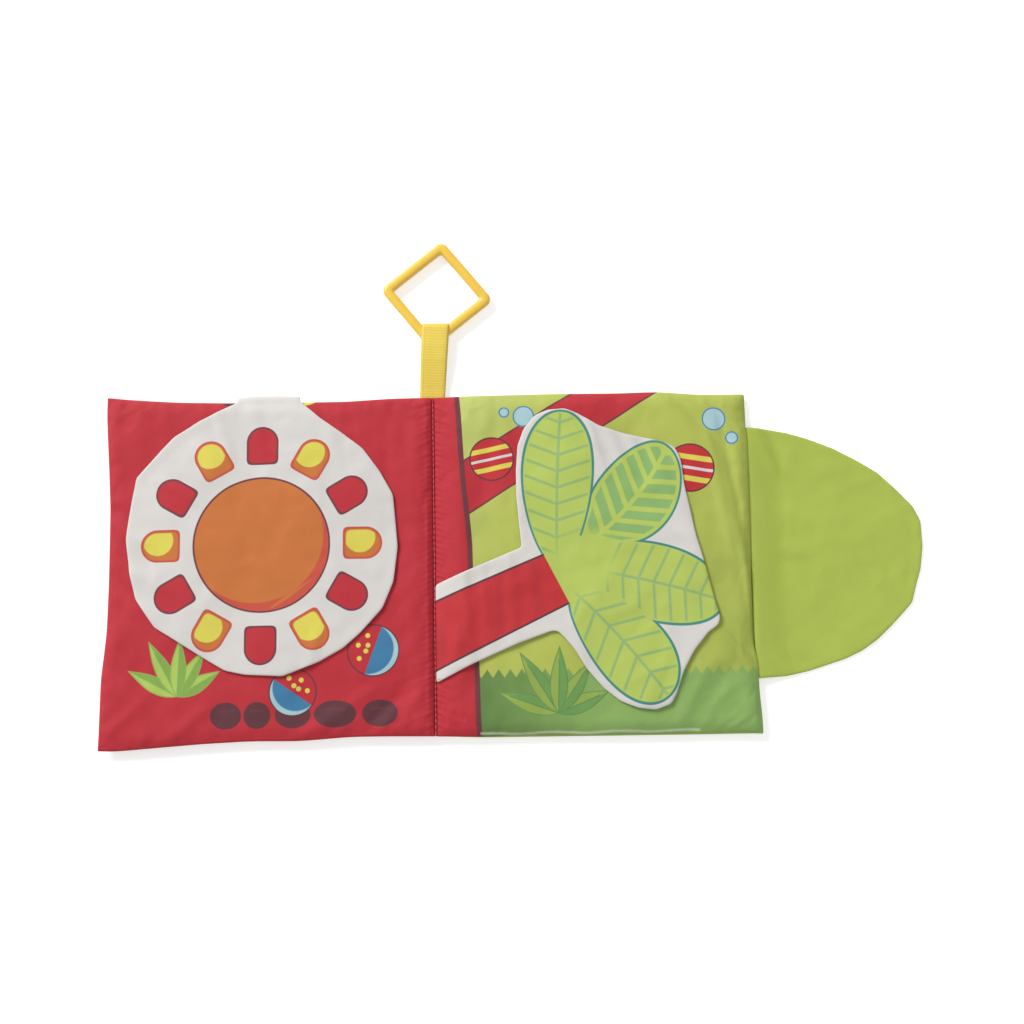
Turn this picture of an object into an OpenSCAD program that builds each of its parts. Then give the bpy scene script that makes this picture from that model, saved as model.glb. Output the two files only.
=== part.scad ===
// Cloth activity book, lying open on its middle spread.
// Two padded sheets are sewn together along the spine, and each side of the
// seam is a cover with a page on it. Three sewn flaps lie on or beside the
// pages, and a ribbon loop at the head of the spine holds a square ring.
// The origin is the middle of the spine, on the surface that the book lies on.
// +X points to the right page's fore edge and +Y to the pages' top edge.

/* [Pages] */
// Width of the left page, from the spine's middle to its fore edge
left_page_w = 150; // [148:1:180]
// Width of the right page, from the spine's middle to its fore edge
right_page_w = 147; // [142:1:180]
// Height of the pages
page_h = 158; // [154:1:190]
// Thickness of one padded leaf
leaf_t = 3.5; // [2.5:0.1:5]
// Thickness of a leaf's sewn fore edge
edge_t = 1.2; // [0.8:0.1:2]
// Distance over which the padding thins out towards an edge
edge_taper = 5; // [3:0.5:6]
// Height of a cover's top and bottom edges above the surface below
end_lift = 1; // [0.2:0.1:1.1]
// Distance from a page's fore edge in to its cover's fore edge
cover_inset = 1.5; // [0.5:0.1:3]

/* [Spine] */
// Width of the flat strip that both sheets are sewn through
strip_w = 6; // [4:0.5:8]
// Thickness of the strip
strip_t = 3; // [2.6:0.1:4]
// Distance over which a leaf swells from the strip to its full thickness
swell_w = 9; // [6:0.5:12]
// Clearance between the strip and each half of the book
half_gap = 0.3; // [0.2:0.05:0.5]
// Length of one stitch along the seam
stitch_l = 2; // [1:0.1:2.2]
// Width of the stitching thread
thread_w = 0.6; // [0.4:0.05:1]
// Distance from one stitch to the next
stitch_pitch = 2.6; // [2.4:0.1:4]

/* [Loop and ring] */
// Width of the ribbon where it leaves the spine
ribbon_w = 11.6; // [9:0.2:15]
// Width of the ribbon at its fold
fold_w = 13; // [10:0.2:15]
// Sideways lean of the ribbon's fold
fold_lean = 1.4; // [0:0.1:3]
// Thickness of the ribbon
ribbon_t = 0.6; // [0.4:0.05:0.9]
// Length of the loop, from the spine's end to its fold
loop_l = 37.3; // [34:0.5:60]
// Side of the square ring, over its bars
ring_side = 38.6; // [34:0.2:50]
// Width of a ring bar
bar_w = 4.4; // [3.5:0.1:6]
// Thickness of a ring bar
bar_t = 4.2; // [3:0.1:6]
// Bevel along a ring bar's edges
bar_bevel = 1.1; // [0.5:0.1:1.3]
// Radius of the ring's outer corners
ring_corner_r = 5; // [4.6:0.1:7]
// Turn of the ring from an upright diamond
ring_turn = 5; // [0:1:10]

/* [Flaps] */
// Thickness of a sewn flap
flap_t = 1.2; // [0.8:0.1:2]
// Gap that the printed page leaves below a flap
flap_rest = 0.3; // [0.3:0.05:0.6]
// Distance from the spine's middle to the sun flap's middle
sun_x = 78.5; // [76:0.5:84]
// Distance from the page's top edge down to the sun flap's middle
sun_drop = 68; // [66:0.5:72]
// Width of the tab that carries the sun flap
tab_w = 29; // [20:1:34]
// Distance from the sun flap's middle to the tab's middle
tab_x = 2.5; // [-2:0.5:4]
// Length over which the bush flap falls to the surface
bush_fall = 8; // [5:0.5:12]

/* [Prints] */
// Thickness of one printed layer
ink_t = 0.15; // [0.05:0.05:0.15]
// Radius of the orange disc
disc_r = 30.4; // [26:0.2:32]
// Number of sun rays
ray_count = 12; // [8:2:14]
// Distance from the disc's middle to a ray's middle
ray_reach = 46; // [44:0.5:48]
// Width of a sun ray
ray_w = 13; // [8:0.5:15]
// Length of a sun ray
ray_l = 16; // [12:0.5:18]
// Width of the dark outlines
line_w = 0.9; // [0.5:0.1:1.4]
// Width of the trunk's dark edge
trunk_line_w = 2.4; // [1.5:0.1:4]
// Height of the grass band above the page's bottom edge
grass_h = 29; // [20:1:40]
// Height of the grass band's teeth
tooth_h = 3.2; // [1:0.2:6]
// Distance from one grass tooth to the next
tooth_pitch = 5; // [4:0.5:8]
// Distance between the veins of a leaf
vein_pitch = 5.6; // [4:0.2:8]
// Width of a vein
vein_w = 0.8; // [0.5:0.1:1.2]

/* [Hidden] */

top_y = page_h / 2;
spine_end_y = top_y + half_gap;
seam_x = strip_w / 2 + half_gap;
full_x = seam_x + swell_w;
page_top = 2 * leaf_t;
far = 400;
sliver = 0.05;
tail_l = 3;
bar_ridge = 0.25;

flap_low = flap_rest;
flap_high = flap_rest + flap_t;
back_cover_w = right_page_w - cover_inset;
front_cover_w = left_page_w - cover_inset;

fold_r = (bar_t + 2 * ribbon_t + 2 * half_gap) / 2;
fold_y = spine_end_y + loop_l;
fold_inner_y = fold_y - ribbon_t;
steep = 45 + ring_turn;
shallow = 45 - ring_turn;
corner_drop = fold_w * tan(steep) * tan(shallow) / (tan(steep) + tan(shallow));
ring_inner_reach = (ring_side - 2 * bar_w) / sqrt(2);
ring_corner_x = fold_lean - fold_w / 2 + corner_drop / tan(steep);
ring_corner_y = fold_inner_y - half_gap - corner_drop;
ring_x = ring_corner_x + ring_inner_reach * sin(ring_turn);
ring_y = ring_corner_y + ring_inner_reach * cos(ring_turn);
ring_z = ribbon_t + half_gap + bar_t / 2;
ring_outer_reach = ring_side / sqrt(2) - ring_corner_r * (sqrt(2) - 1);
ring_low_y = ring_y - ring_outer_reach * cos(ring_turn);

sun_y = top_y - sun_drop;

// Points of the sun flap's edge, from the disc's middle
sun_points = [
    [26, 59], [37, 51], [46, 44], [54, 33], [60, 22], [62, -2], [60, -18], [55, -30], [45, -41],
    [37, -48], [26, -54], [10, -60], [-7, -59], [-16, -57], [-26, -51], [-40, -42], [-48, -37], [-57, -24],
    [-60, -12], [-62, 3], [-61, 14], [-58, 32], [-51, 40], [-41, 51], [-30, 58]
];

// Points of the tree flap's edge, from the middle of the spine
tree_points = [
    [0, -9], [18, -1.5], [40, 7.5], [39, 18], [38, 31], [38, 43], [39, 55], [42, 63], [47, 69],
    [53, 71.5], [61, 72], [67, 69.5], [77, 63.5], [89, 59.5], [100, 57], [107, 55], [111.5, 52.5],
    [114, 46.5], [115, 36], [117, 26], [119.5, 11.5], [122, 2.5], [125, -10], [129, -26], [128, -29.5],
    [123, -33], [116.5, -41], [111.5, -50], [108, -60], [105.5, -64.5], [98.5, -67], [90.5, -66],
    [83, -63], [75.5, -57], [68, -48], [63, -39.5], [58.5, -34], [55.5, -31], [52.5, -31],
    [37, -36.5], [17, -45], [0, -53.5]
];

// Points of the bush flap's edge, from the right page's fore edge, and its ends at the seam
bush_top = 62.5;
bush_bottom = -53.8;
bush_points = [
    [5, 62], [17, 60], [27, 57], [39, 52], [49, 46.5], [59, 40], [67, 32], [74, 24], [77, 17.5],
    [77.3, 6], [75.7, -5], [73, -13], [70.7, -20.5], [65, -26.5], [60, -31.5], [54, -37], [46.6, -42],
    [38.6, -45.6], [22, -50.7], [12, -52.8]
];

// Points along the inner side of the trunk's dark edge, from the middle of the spine,
// drawn for a page of the height drawn_h
drawn_h = 158;
trunk_points = [[8.2, 120], [12, 49], [14, 25], [15, 9], [17.3, -45], [17, -61], [17.8, -84]];

// Each leaf: middle, length, width and direction
leaf_shapes = [
    [[57.8, 34], 73, 31, 90],
    [[88, 29.6], 61, 32, 41],
    [[98, -12], 60, 33, -9],
    [[86.3, -37.3], 64, 31, -56]
];

// Each blade of a grass tuft: length and direction
blades = [[25, 152], [28, 118], [26, 88], [24, 60], [22, 30]];

// Place of each tuft: distance from the spine, and height over the page's bottom edge
left_tuft_x = 116;
right_tuft_x = 54;
tuft_drop = 22;

// Each pebble: distance from the spine, half its length; then the row's height and half a pebble's
pebbles_row = [[94, 7], [80, 6], [64, 8], [45, 9.5], [25, 8]];
pebble_y = 13;
pebble_half_h = 6;

// Each ball on the left page: middle, radius, turn
left_balls = [[[-28, -38], 11.5, 70], [[-64, -56], 10.5, -35]];

// Each ball on the right page: middle, radius, turn
right_balls = [[[27, 49], 10, 12], [[118, 43], 11, -10]];

// Each bubble: middle and radius
bubble_list = [[[42, 69], 5], [[33, 71], 2.5], [[130, 66], 5.5], [[138, 57], 3]];

// Half of a leaf-shaped blade's width, at a share of its length
function blade_half(share) = 3.6 * sin(180 * pow(share, 0.8));

// Edge of an egg-shaped leaf that points along +X
function egg(l, w) = [
    for (a = [0 : 10 : 350]) [l / 2 * cos(a), w / 2 * sin(a) * (1 + 0.14 * cos(a))]
];

// Solid of a cover leaf, under +X; ends and fore edge thin out upwards
module cover_form(w) {
    intersection() {
        rotate([90, 0, 0])
            linear_extrude(page_h, center = true)
                polygon([
                    [seam_x, 0], [w - edge_taper, 0], [w, leaf_t - edge_t], [w, leaf_t],
                    [full_x, leaf_t], [seam_x, strip_t / 2]
                ]);
        rotate([90, 0, 90])
            linear_extrude(far)
                polygon([
                    [-top_y, end_lift], [-top_y + edge_taper, 0], [top_y - edge_taper, 0],
                    [top_y, end_lift], [top_y, far], [-top_y, far]
                ]);
    }
}

// Solid of a page leaf, under +X, with its top raised by lift and its sides grown by grow
module page_form(w, lift = 0, grow = 0) {
    intersection() {
        rotate([90, 0, 0])
            linear_extrude(page_h + 2 * grow, center = true)
                polygon([
                    [seam_x - grow, strip_t / 2], [seam_x, strip_t / 2], [full_x, leaf_t],
                    [w + grow, leaf_t], [w + grow, leaf_t + edge_t + lift],
                    [w, leaf_t + edge_t + lift], [w - edge_taper, page_top + lift],
                    [full_x, page_top + lift], [seam_x, strip_t + lift], [seam_x - grow, strip_t + lift]
                ]);
        rotate([90, 0, 90])
            linear_extrude(far)
                polygon([
                    [-top_y - grow, 0], [-top_y - grow, leaf_t + edge_t + lift],
                    [-top_y, leaf_t + edge_t + lift], [-top_y + edge_taper, page_top + lift],
                    [top_y - edge_taper, page_top + lift], [top_y, leaf_t + edge_t + lift],
                    [top_y + grow, leaf_t + edge_t + lift], [top_y + grow, 0]
                ]);
    }
}

// Layer that follows a page's top between two heights over it, cut to the outline given
module page_layer(w, low, high) {
    intersection() {
        linear_extrude(far, center = true) children();
        difference() {
            page_form(w, high);
            page_form(w, low, 1);
        }
    }
}

// Printed layer on the right page, or at the height of the flap on it
module on_right(base, layer = 0) {
    low = base + layer * ink_t;
    page_layer(right_page_w, low, low + ink_t) children();
}

// Printed layer on the left page, or at the height of the flap on it
module on_left(base, layer = 0) {
    low = base + layer * ink_t;
    mirror([1, 0, 0])
        page_layer(left_page_w, low, low + ink_t)
            mirror([1, 0, 0]) children();
}

module front_cover() {
    color("#5f9a3f") mirror([1, 0, 0]) cover_form(front_cover_w);
}

module left_page() {
    color("#cc4452") mirror([1, 0, 0]) page_form(left_page_w);
}

module right_page() {
    color("#aabf52") page_form(right_page_w);
}

module back_cover() {
    color("#9db84a") cover_form(back_cover_w);
}

module spine_strip() {
    color("#c03c4a")
        translate([-strip_w / 2, -top_y, 0])
            cube([strip_w, top_y + spine_end_y, strip_t]);
}

module spine_stitches() {
    count = floor((page_h - stitch_pitch) / stitch_pitch);
    first_y = -(count - 1) / 2 * stitch_pitch - stitch_l / 2;
    color("#e0606c")
        for (i = [0 : count - 1])
            translate([-thread_w / 2, first_y + i * stitch_pitch, strip_t])
                cube([thread_w, stitch_l, thread_w / 2]);
}

// Side view of the ribbon loop, drawn in by an inset, with a tail of its own place and height
module loop_side(inset, tail_y, tail_h) {
    hull() {
        translate([fold_y - fold_r, fold_r]) circle(r = fold_r - inset, $fn = 32);
        translate([ring_low_y, fold_r]) circle(r = fold_r - inset, $fn = 32);
        translate([tail_y, (strip_t - tail_h) / 2]) square([sliver, tail_h]);
    }
}

module ribbon_loop() {
    color("#e8cf62")
        intersection() {
            rotate([90, 0, 90])
                linear_extrude(far, center = true)
                    difference() {
                        loop_side(0, spine_end_y, 2 * ribbon_t);
                        loop_side(ribbon_t, spine_end_y + tail_l, sliver);
                    }
            linear_extrude(far)
                polygon([
                    [-ribbon_w / 2, spine_end_y], [ribbon_w / 2, spine_end_y],
                    [fold_lean + fold_w / 2, fold_y], [fold_lean - fold_w / 2, fold_y]
                ]);
        }
}

// Section of a ring bar, with a bevel along each edge and a low ridge on its top
module bar_section() {
    half_w = bar_w / 2;
    half_t = bar_t / 2;
    polygon([
        [-half_w, -half_t + bar_bevel], [-half_w + bar_bevel, -half_t], [half_w - bar_bevel, -half_t],
        [half_w, -half_t + bar_bevel], [half_w, half_t - bar_bevel], [half_w - bar_bevel, half_t - bar_ridge],
        [0, half_t], [-half_w + bar_bevel, half_t - bar_ridge], [-half_w, half_t - bar_bevel]
    ]);
}

module ring() {
    middle_r = ring_corner_r - bar_w / 2;
    reach = ring_side / 2 - bar_w / 2;
    straight = 2 * (reach - middle_r);
    color("#eec24a")
        translate([ring_x, ring_y, ring_z])
            rotate([0, 0, -45 - ring_turn])
                for (turn = [0 : 90 : 270])
                    rotate([0, 0, turn]) {
                        translate([reach, straight / 2, 0])
                            rotate([90, 0, 0])
                                linear_extrude(straight)
                                    bar_section();
                        translate([reach - middle_r, reach - middle_r, 0])
                            rotate_extrude(angle = 90, $fn = 48)
                                translate([middle_r, 0])
                                    bar_section();
                    }
}

module sun_outline_2d() {
    translate([-sun_x, sun_y])
        polygon(concat([[tab_x - tab_w / 2, sun_drop], [tab_x + tab_w / 2, sun_drop]], sun_points));
}

module sun_flap() {
    color("#d9d5d2") {
        mirror([1, 0, 0])
            page_layer(left_page_w, flap_low, flap_high)
                mirror([1, 0, 0]) sun_outline_2d();
        translate([-sun_x + tab_x - tab_w / 2, top_y, leaf_t])
            cube([tab_w, flap_t, edge_t + flap_high]);
    }
}

module tree_flap() {
    color("#d9d5d2")
        page_layer(right_page_w, flap_low, flap_high)
            polygon(tree_points);
}

module bush_flap() {
    fall_x = right_page_w + edge_t;
    color("#a3bf45")
        intersection() {
            linear_extrude(far, center = true)
                translate([right_page_w, 0])
                    polygon(concat([[-cover_inset, bush_top]], bush_points, [[-cover_inset, bush_bottom]]));
            rotate([90, 0, 0])
                linear_extrude(far, center = true)
                    polygon([
                        [back_cover_w, leaf_t - edge_t], [fall_x, leaf_t - edge_t], [fall_x + bush_fall, 0],
                        [far, 0], [far, flap_t], [fall_x + bush_fall, flap_t], [fall_x, leaf_t],
                        [back_cover_w, leaf_t]
                    ]);
        }
}

// Outline of one pointed grass blade along +X
module blade_2d(l) {
    shares = [0 : 0.1 : 1];
    polygon(concat(
        [for (s = shares) [l * s, blade_half(s)]],
        [for (s = [0.9 : -0.1 : 0.1]) [l * s, -blade_half(s)]]
    ));
}

module tuft_2d() {
    for (b = blades)
        rotate([0, 0, b[1]]) blade_2d(b[0]);
}

module left_tuft() {
    color("#9dbb4c")
        on_left(0)
            translate([-left_tuft_x, tuft_drop - top_y]) tuft_2d();
}

module right_tuft() {
    color("#8bb04e")
        on_right(0, 1)
            translate([right_tuft_x, tuft_drop / 2 - top_y]) tuft_2d();
}

module pebbles() {
    color("#5f3036")
        on_left(0)
            for (p = pebbles_row)
                translate([-p[0], pebble_y - top_y])
                    polygon([for (a = [0 : 15 : 345]) [p[1] * cos(a), pebble_half_h * sin(a)]]);
}

// Two strips across a ball, one on each side of its middle
module ball_strips_2d(r) {
    strip_place = 0.45 * r;
    strip_h = 0.3 * r;
    for (y = [-strip_place, strip_place])
        translate([0, y]) square([2 * r, strip_h], center = true);
}

// The half of a ball over its middle line
module half_ball_2d(r) {
    intersection() {
        circle(r = r, $fn = 48);
        translate([-r, 0]) square([2 * r, r]);
    }
}

// Three dots in an arc on a ball's upper half
module ball_dots_2d(r) {
    dot_reach = 0.58 * r;
    for (a = [40, 90, 140])
        rotate([0, 0, a]) translate([dot_reach, 0]) circle(r = 0.11 * r, $fn = 16);
}

module left_balls_blue() {
    color("#3f789c")
        on_left(0, 1)
            for (b = left_balls)
                translate(b[0]) rotate([0, 0, b[2] + 180]) half_ball_2d(b[1]);
}

module left_balls_red() {
    color("#d33f45")
        on_left(0, 1)
            for (b = left_balls)
                translate(b[0])
                    rotate([0, 0, b[2]])
                        difference() {
                            half_ball_2d(b[1]);
                            ball_dots_2d(b[1]);
                        }
}

module left_ball_dots() {
    color("#ecca5a")
        on_left(0, 1)
            for (b = left_balls)
                translate(b[0]) rotate([0, 0, b[2]]) ball_dots_2d(b[1]);
}

module right_balls_red() {
    color("#cf3f4c")
        on_right(0, 1)
            for (b = right_balls)
                translate(b[0])
                    rotate([0, 0, b[2]])
                        difference() {
                            circle(r = b[1], $fn = 48);
                            ball_strips_2d(b[1]);
                        }
}

module right_balls_yellow() {
    color("#e6b75c")
        on_right(0, 1)
            for (b = right_balls)
                translate(b[0])
                    rotate([0, 0, b[2]])
                        intersection() {
                            circle(r = b[1], $fn = 48);
                            ball_strips_2d(b[1]);
                        }
}

module bubbles() {
    color("#a9c8cd")
        on_right(0, 1)
            for (b = bubble_list)
                translate(b[0]) circle(r = b[1], $fn = 32);
}

module sun_outline() {
    color("#6b3038")
        on_left(flap_high)
            translate([-sun_x, sun_y])
                circle(r = disc_r + line_w, $fn = 72);
}

module sun_disc() {
    color("#d9853f")
        on_left(flap_high, 1)
            translate([-sun_x, sun_y])
                circle(r = disc_r, $fn = 72);
}

// One ray that points along +X, with a rounded outer end, grown by a rim
module ray_2d(rim) {
    half_w = ray_w / 2 + rim;
    low = -ray_l / 2 - rim;
    high = ray_l / 2 - ray_w / 2;
    translate([low, -half_w]) square([high - low, 2 * half_w]);
    translate([high, 0]) circle(r = half_w, $fn = 32);
}

// Every ray whose number leaves this remainder after division by step
module rays_2d(first, step, rim) {
    translate([-sun_x, sun_y])
        for (i = [first : step : ray_count - 1])
            rotate([0, 0, 90 + i * 360 / ray_count])
                translate([ray_reach, 0])
                    ray_2d(rim);
}

module sun_ray_outlines() {
    color("#b04a3e") on_left(flap_high) rays_2d(0, 1, line_w);
}

module sun_rays_red() {
    color("#c8404e") on_left(flap_high, 1) rays_2d(0, 2, 0);
}

module sun_rays_yellow() {
    color("#dfcb4f") on_left(flap_high, 1) rays_2d(1, 2, 0);
}

// The trunk's area on the page, from beyond the seam to its dark edge, widened by extra
function trunk_area(extra) = concat(
    [[-1, -far], [-1, far]],
    [for (p = trunk_points) [p[0] + extra, p[1] * page_h / drawn_h]],
    [[trunk_points[6][0] + extra, -far]]
);

module trunk_band() {
    color("#cc4452")
        on_right(0)
            polygon(trunk_area(0));
}

module trunk_line() {
    color("#7a3d44")
        on_right(0)
            difference() {
                polygon(trunk_area(trunk_line_w));
                polygon(trunk_area(0));
            }
}

// Band of the branch, from the trunk to the page's top edge, drawn in by an inset
module branch_2d(inset) {
    difference() {
        polygon([
            [0, 40.2 - inset], [0, 12.8 + inset], [104, 79.2 + inset], [110, 83 + inset],
            [110, 108.4 - inset]
        ]);
        polygon(trunk_area(trunk_line_w));
    }
}

module branch() {
    color("#cc4452")
        on_right(0)
            branch_2d(line_w);
}

module branch_lines() {
    color("#7a3d44")
        on_right(0)
            difference() {
                branch_2d(0);
                branch_2d(line_w);
            }
}

module grass_band() {
    count = ceil(right_page_w / tooth_pitch);
    low_y = -top_y + grass_h - tooth_h;
    color("#7fa65c")
        on_right(0)
            difference() {
                polygon(concat(
                    [[count * tooth_pitch, -top_y], [0, -top_y]],
                    [
                        for (i = [0 : 2 * count])
                            [i * tooth_pitch / 2, low_y + (i % 2 == 1 ? tooth_h : 0)]
                    ]
                ));
                polygon(trunk_area(trunk_line_w));
            }
}

// The trunk on the tree flap, drawn in by an inset
module flap_trunk_2d(inset) {
    polygon([
        [0, -16.2 - inset], [50, 4.4 - inset], [54, -3.7], [60.5, -19.2 + inset], [0, -48.5 + inset]
    ]);
}

module flap_trunk() {
    color("#cb4046")
        on_right(flap_high)
            difference() {
                flap_trunk_2d(line_w);
                leaves_2d(line_w);
            }
}

module flap_trunk_lines() {
    color("#7a3d44")
        on_right(flap_high)
            difference() {
                flap_trunk_2d(0);
                flap_trunk_2d(line_w);
                leaves_2d(line_w);
            }
}

// All leaves of the tree flap, grown by a rim
module leaves_2d(rim) {
    for (s = leaf_shapes)
        translate(s[0])
            rotate([0, 0, s[3]])
                polygon(egg(s[1] + 2 * rim, s[2] + 2 * rim));
}

// The tree flap's outline, drawn in so that no print reaches its edge
module flap_print_area() {
    intersection() {
        polygon(tree_points);
        polygon([for (p = tree_points) [p[0] - line_w, p[1]]]);
    }
}

module leaf_outlines() {
    color("#3c8279")
        on_right(flap_high)
            intersection() {
                leaves_2d(line_w);
                flap_print_area();
            }
}

module leaves() {
    color("#b3c957")
        on_right(flap_high, 1)
            intersection() {
                leaves_2d(0);
                flap_print_area();
            }
}

// Veins of one leaf that points along +X: a midrib and slanted pairs
module veins_2d(l, w) {
    translate([-l / 2, -vein_w / 2]) square([l * 0.94, vein_w]);
    for (x = [-l * 0.4 : vein_pitch : l * 0.36])
        for (side = [-1, 1])
            translate([x, 0])
                rotate([0, 0, side * 55])
                    translate([0, -vein_w / 2]) square([w, vein_w]);
}

module leaf_veins() {
    color("#7fae86")
        on_right(flap_high, 2)
            intersection() {
                for (s = leaf_shapes)
                    translate(s[0])
                        rotate([0, 0, s[3]])
                            intersection() {
                                veins_2d(s[1], s[2]);
                                polygon(egg(s[1] - 2 * line_w, s[2] - 2 * line_w));
                            }
                flap_print_area();
            }
}

front_cover();
left_page();
spine_strip();
spine_stitches();
ribbon_loop();
ring();
right_page();
back_cover();
sun_flap();
tree_flap();
bush_flap();
left_tuft();
pebbles();
left_balls_blue();
left_balls_red();
left_ball_dots();
sun_outline();
sun_disc();
sun_ray_outlines();
sun_rays_red();
sun_rays_yellow();
trunk_band();
trunk_line();
branch();
branch_lines();
grass_band();
right_tuft();
right_balls_red();
right_balls_yellow();
bubbles();
flap_trunk();
flap_trunk_lines();
leaf_outlines();
leaves();
leaf_veins();
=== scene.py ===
"""Cloth activity book, lying open on its middle spread.

The book is two padded halves sewn together at the spine. Three flaps lie on or beside
the pages, and a ribbon loop holds a moulded ring. Lengths in the classes are in
millimetres, and the meshes are in metres. +X points to the right page's fore edge.
"""
import logging
import math
from dataclasses import dataclass, field
from enum import Enum
from typing import Callable

import bmesh
import bpy
import numpy as np
from mathutils import Matrix, Vector, noise
from mathutils.bvhtree import BVHTree


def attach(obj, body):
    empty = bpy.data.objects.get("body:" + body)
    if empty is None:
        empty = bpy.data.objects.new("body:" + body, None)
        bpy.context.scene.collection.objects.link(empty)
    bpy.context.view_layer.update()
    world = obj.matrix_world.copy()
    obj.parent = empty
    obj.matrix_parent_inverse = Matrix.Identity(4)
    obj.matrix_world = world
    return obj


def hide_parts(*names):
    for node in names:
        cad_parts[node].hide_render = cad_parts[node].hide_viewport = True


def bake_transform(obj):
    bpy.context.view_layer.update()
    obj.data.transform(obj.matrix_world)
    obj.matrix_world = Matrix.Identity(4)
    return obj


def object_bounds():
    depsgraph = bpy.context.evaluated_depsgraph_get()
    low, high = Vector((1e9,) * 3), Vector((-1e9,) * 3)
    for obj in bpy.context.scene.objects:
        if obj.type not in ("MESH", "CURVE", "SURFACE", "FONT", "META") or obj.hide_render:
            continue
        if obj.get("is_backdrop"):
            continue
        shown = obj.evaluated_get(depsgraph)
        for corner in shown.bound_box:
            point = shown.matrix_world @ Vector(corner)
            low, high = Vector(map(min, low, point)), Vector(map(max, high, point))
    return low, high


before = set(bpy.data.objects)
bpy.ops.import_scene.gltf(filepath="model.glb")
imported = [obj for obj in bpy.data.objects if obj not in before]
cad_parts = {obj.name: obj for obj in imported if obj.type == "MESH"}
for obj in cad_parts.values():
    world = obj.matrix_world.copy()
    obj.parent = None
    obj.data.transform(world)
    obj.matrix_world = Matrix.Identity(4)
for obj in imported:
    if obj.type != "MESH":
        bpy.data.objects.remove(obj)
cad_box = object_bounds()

log = logging.getLogger("cloth_book")

MM = 0.001
CLOTH_UV = "cloth"
UV_SPAN = 400.0
UV_ORIGIN = (0.4, 0.5)
SEAM_HALF = 0.35
PUFF_FRAMES = 20

Point = tuple[float, float]
Colour = tuple[float, float, float, float]


def ink(code: str) -> Colour:
    """Linear colour of an sRGB hex code such as "d33f45"."""
    parts = [int(code[i:i + 2], 16) / 255 for i in (0, 2, 4)]
    return (*[c / 12.92 if c <= 0.04045 else ((c + 0.055) / 1.055) ** 2.4 for c in parts], 1.0)


def turned(angle: float) -> tuple[float, float]:
    """Cosine and sine of an angle in degrees."""
    return math.cos(math.radians(angle)), math.sin(math.radians(angle))


def smoothstep(value: np.ndarray | float) -> np.ndarray | float:
    """Smooth rise from 0 to 1 over the same range."""
    value = np.clip(value, 0.0, 1.0)
    return value * value * (3 - 2 * value)


def soft_noise(x: float, y: float, scale: float, seed: float) -> float:
    """Smooth noise from about -1 to 1, with features of the size given.

    Args:
        x: Place along X, in millimetres.
        y: Place along Y, in millimetres.
        scale: Size of the features, in millimetres.
        seed: Slice of the noise, different for each piece.

    Returns:
        The noise there.
    """
    return noise.noise(Vector((x / scale, y / scale, seed)))


def creasing(x: float, y: float, scale: float, seed: float) -> float:
    """Sharp-topped creases with soft sides, which come and go over the cloth.

    Args:
        x: Place along X, in millimetres.
        y: Place along Y, in millimetres.
        scale: Typical distance between creases, in millimetres.
        seed: Slice of the noise, different for each piece.

    Returns:
        The creases' height there, from 0 to about 1.
    """
    bent_x = x + 5.0 * soft_noise(x, y, 1.4 * scale, seed + 11)
    line = max(1 - 3.2 * abs(soft_noise(bent_x, y, scale, seed)), 0.0)
    where = float(smoothstep(0.5 + 1.8 * soft_noise(x, y, 2.1 * scale, seed + 23)))
    return line * line * where


class Half(Enum):
    """A side of the open book, with its direction along X."""

    LEFT = -1
    RIGHT = 1

    @property
    def body(self) -> str:
        """Name of the body that this half rides on."""
        return "left_half" if self is Half.LEFT else "right_half"


class Field:
    """A number that varies over a surface; arithmetic on it adds math nodes."""

    def __init__(self, tree: bpy.types.NodeTree, socket: bpy.types.NodeSocket) -> None:
        """Wraps a socket of a material's node tree."""
        self.tree = tree
        self.socket = socket

    def node(self, operation: str, *others: "Field | float", clamp: bool = False) -> "Field":
        """Adds one math node that starts from this field.

        Args:
            operation: Name of the math operation.
            others: The operation's other inputs.
            clamp: Whether the result is held between 0 and 1.

        Returns:
            The node's result.
        """
        made = self.tree.nodes.new("ShaderNodeMath")
        made.operation = operation
        made.use_clamp = clamp
        for socket, value in zip(made.inputs, (self, *others)):
            if isinstance(value, Field):
                self.tree.links.new(value.socket, socket)
            else:
                socket.default_value = value
        return Field(self.tree, made.outputs[0])

    def __add__(self, other: "Field | float") -> "Field":
        """Sum."""
        return self.node("ADD", other)

    def __sub__(self, other: "Field | float") -> "Field":
        """Difference."""
        return self.node("SUBTRACT", other)

    def __mul__(self, other: "Field | float") -> "Field":
        """Product."""
        return self.node("MULTIPLY", other)

    def __neg__(self) -> "Field":
        """The field with its sign changed."""
        return self.node("MULTIPLY", -1.0)

    def __abs__(self) -> "Field":
        """Absolute value."""
        return self.node("ABSOLUTE")

    def max(self, other: "Field | float") -> "Field":
        """The larger of two fields: two shapes' overlap."""
        return self.node("MAXIMUM", other)

    def min(self, other: "Field | float") -> "Field":
        """The smaller of two fields: two shapes together."""
        return self.node("MINIMUM", other)

    def hypot(self, other: "Field") -> "Field":
        """Length of the vector that two fields make."""
        return (self * self).node_add_product(other, other).node("SQRT")

    def node_add_product(self, first: "Field | float", second: "Field | float") -> "Field":
        """This field plus the product of two others."""
        made = self.tree.nodes.new("ShaderNodeMath")
        made.operation = "MULTIPLY_ADD"
        for socket, value in zip(made.inputs, (first, second, self)):
            if isinstance(value, Field):
                self.tree.links.new(value.socket, socket)
            else:
                socket.default_value = value
        return Field(self.tree, made.outputs[0])

    def mask(self, soft: float = 0.25) -> "Field":
        """1 inside the shape and 0 outside, with an edge that is soft millimetres wide."""
        return self.node("MULTIPLY_ADD", -1 / soft, 0.5, clamp=True)


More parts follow.
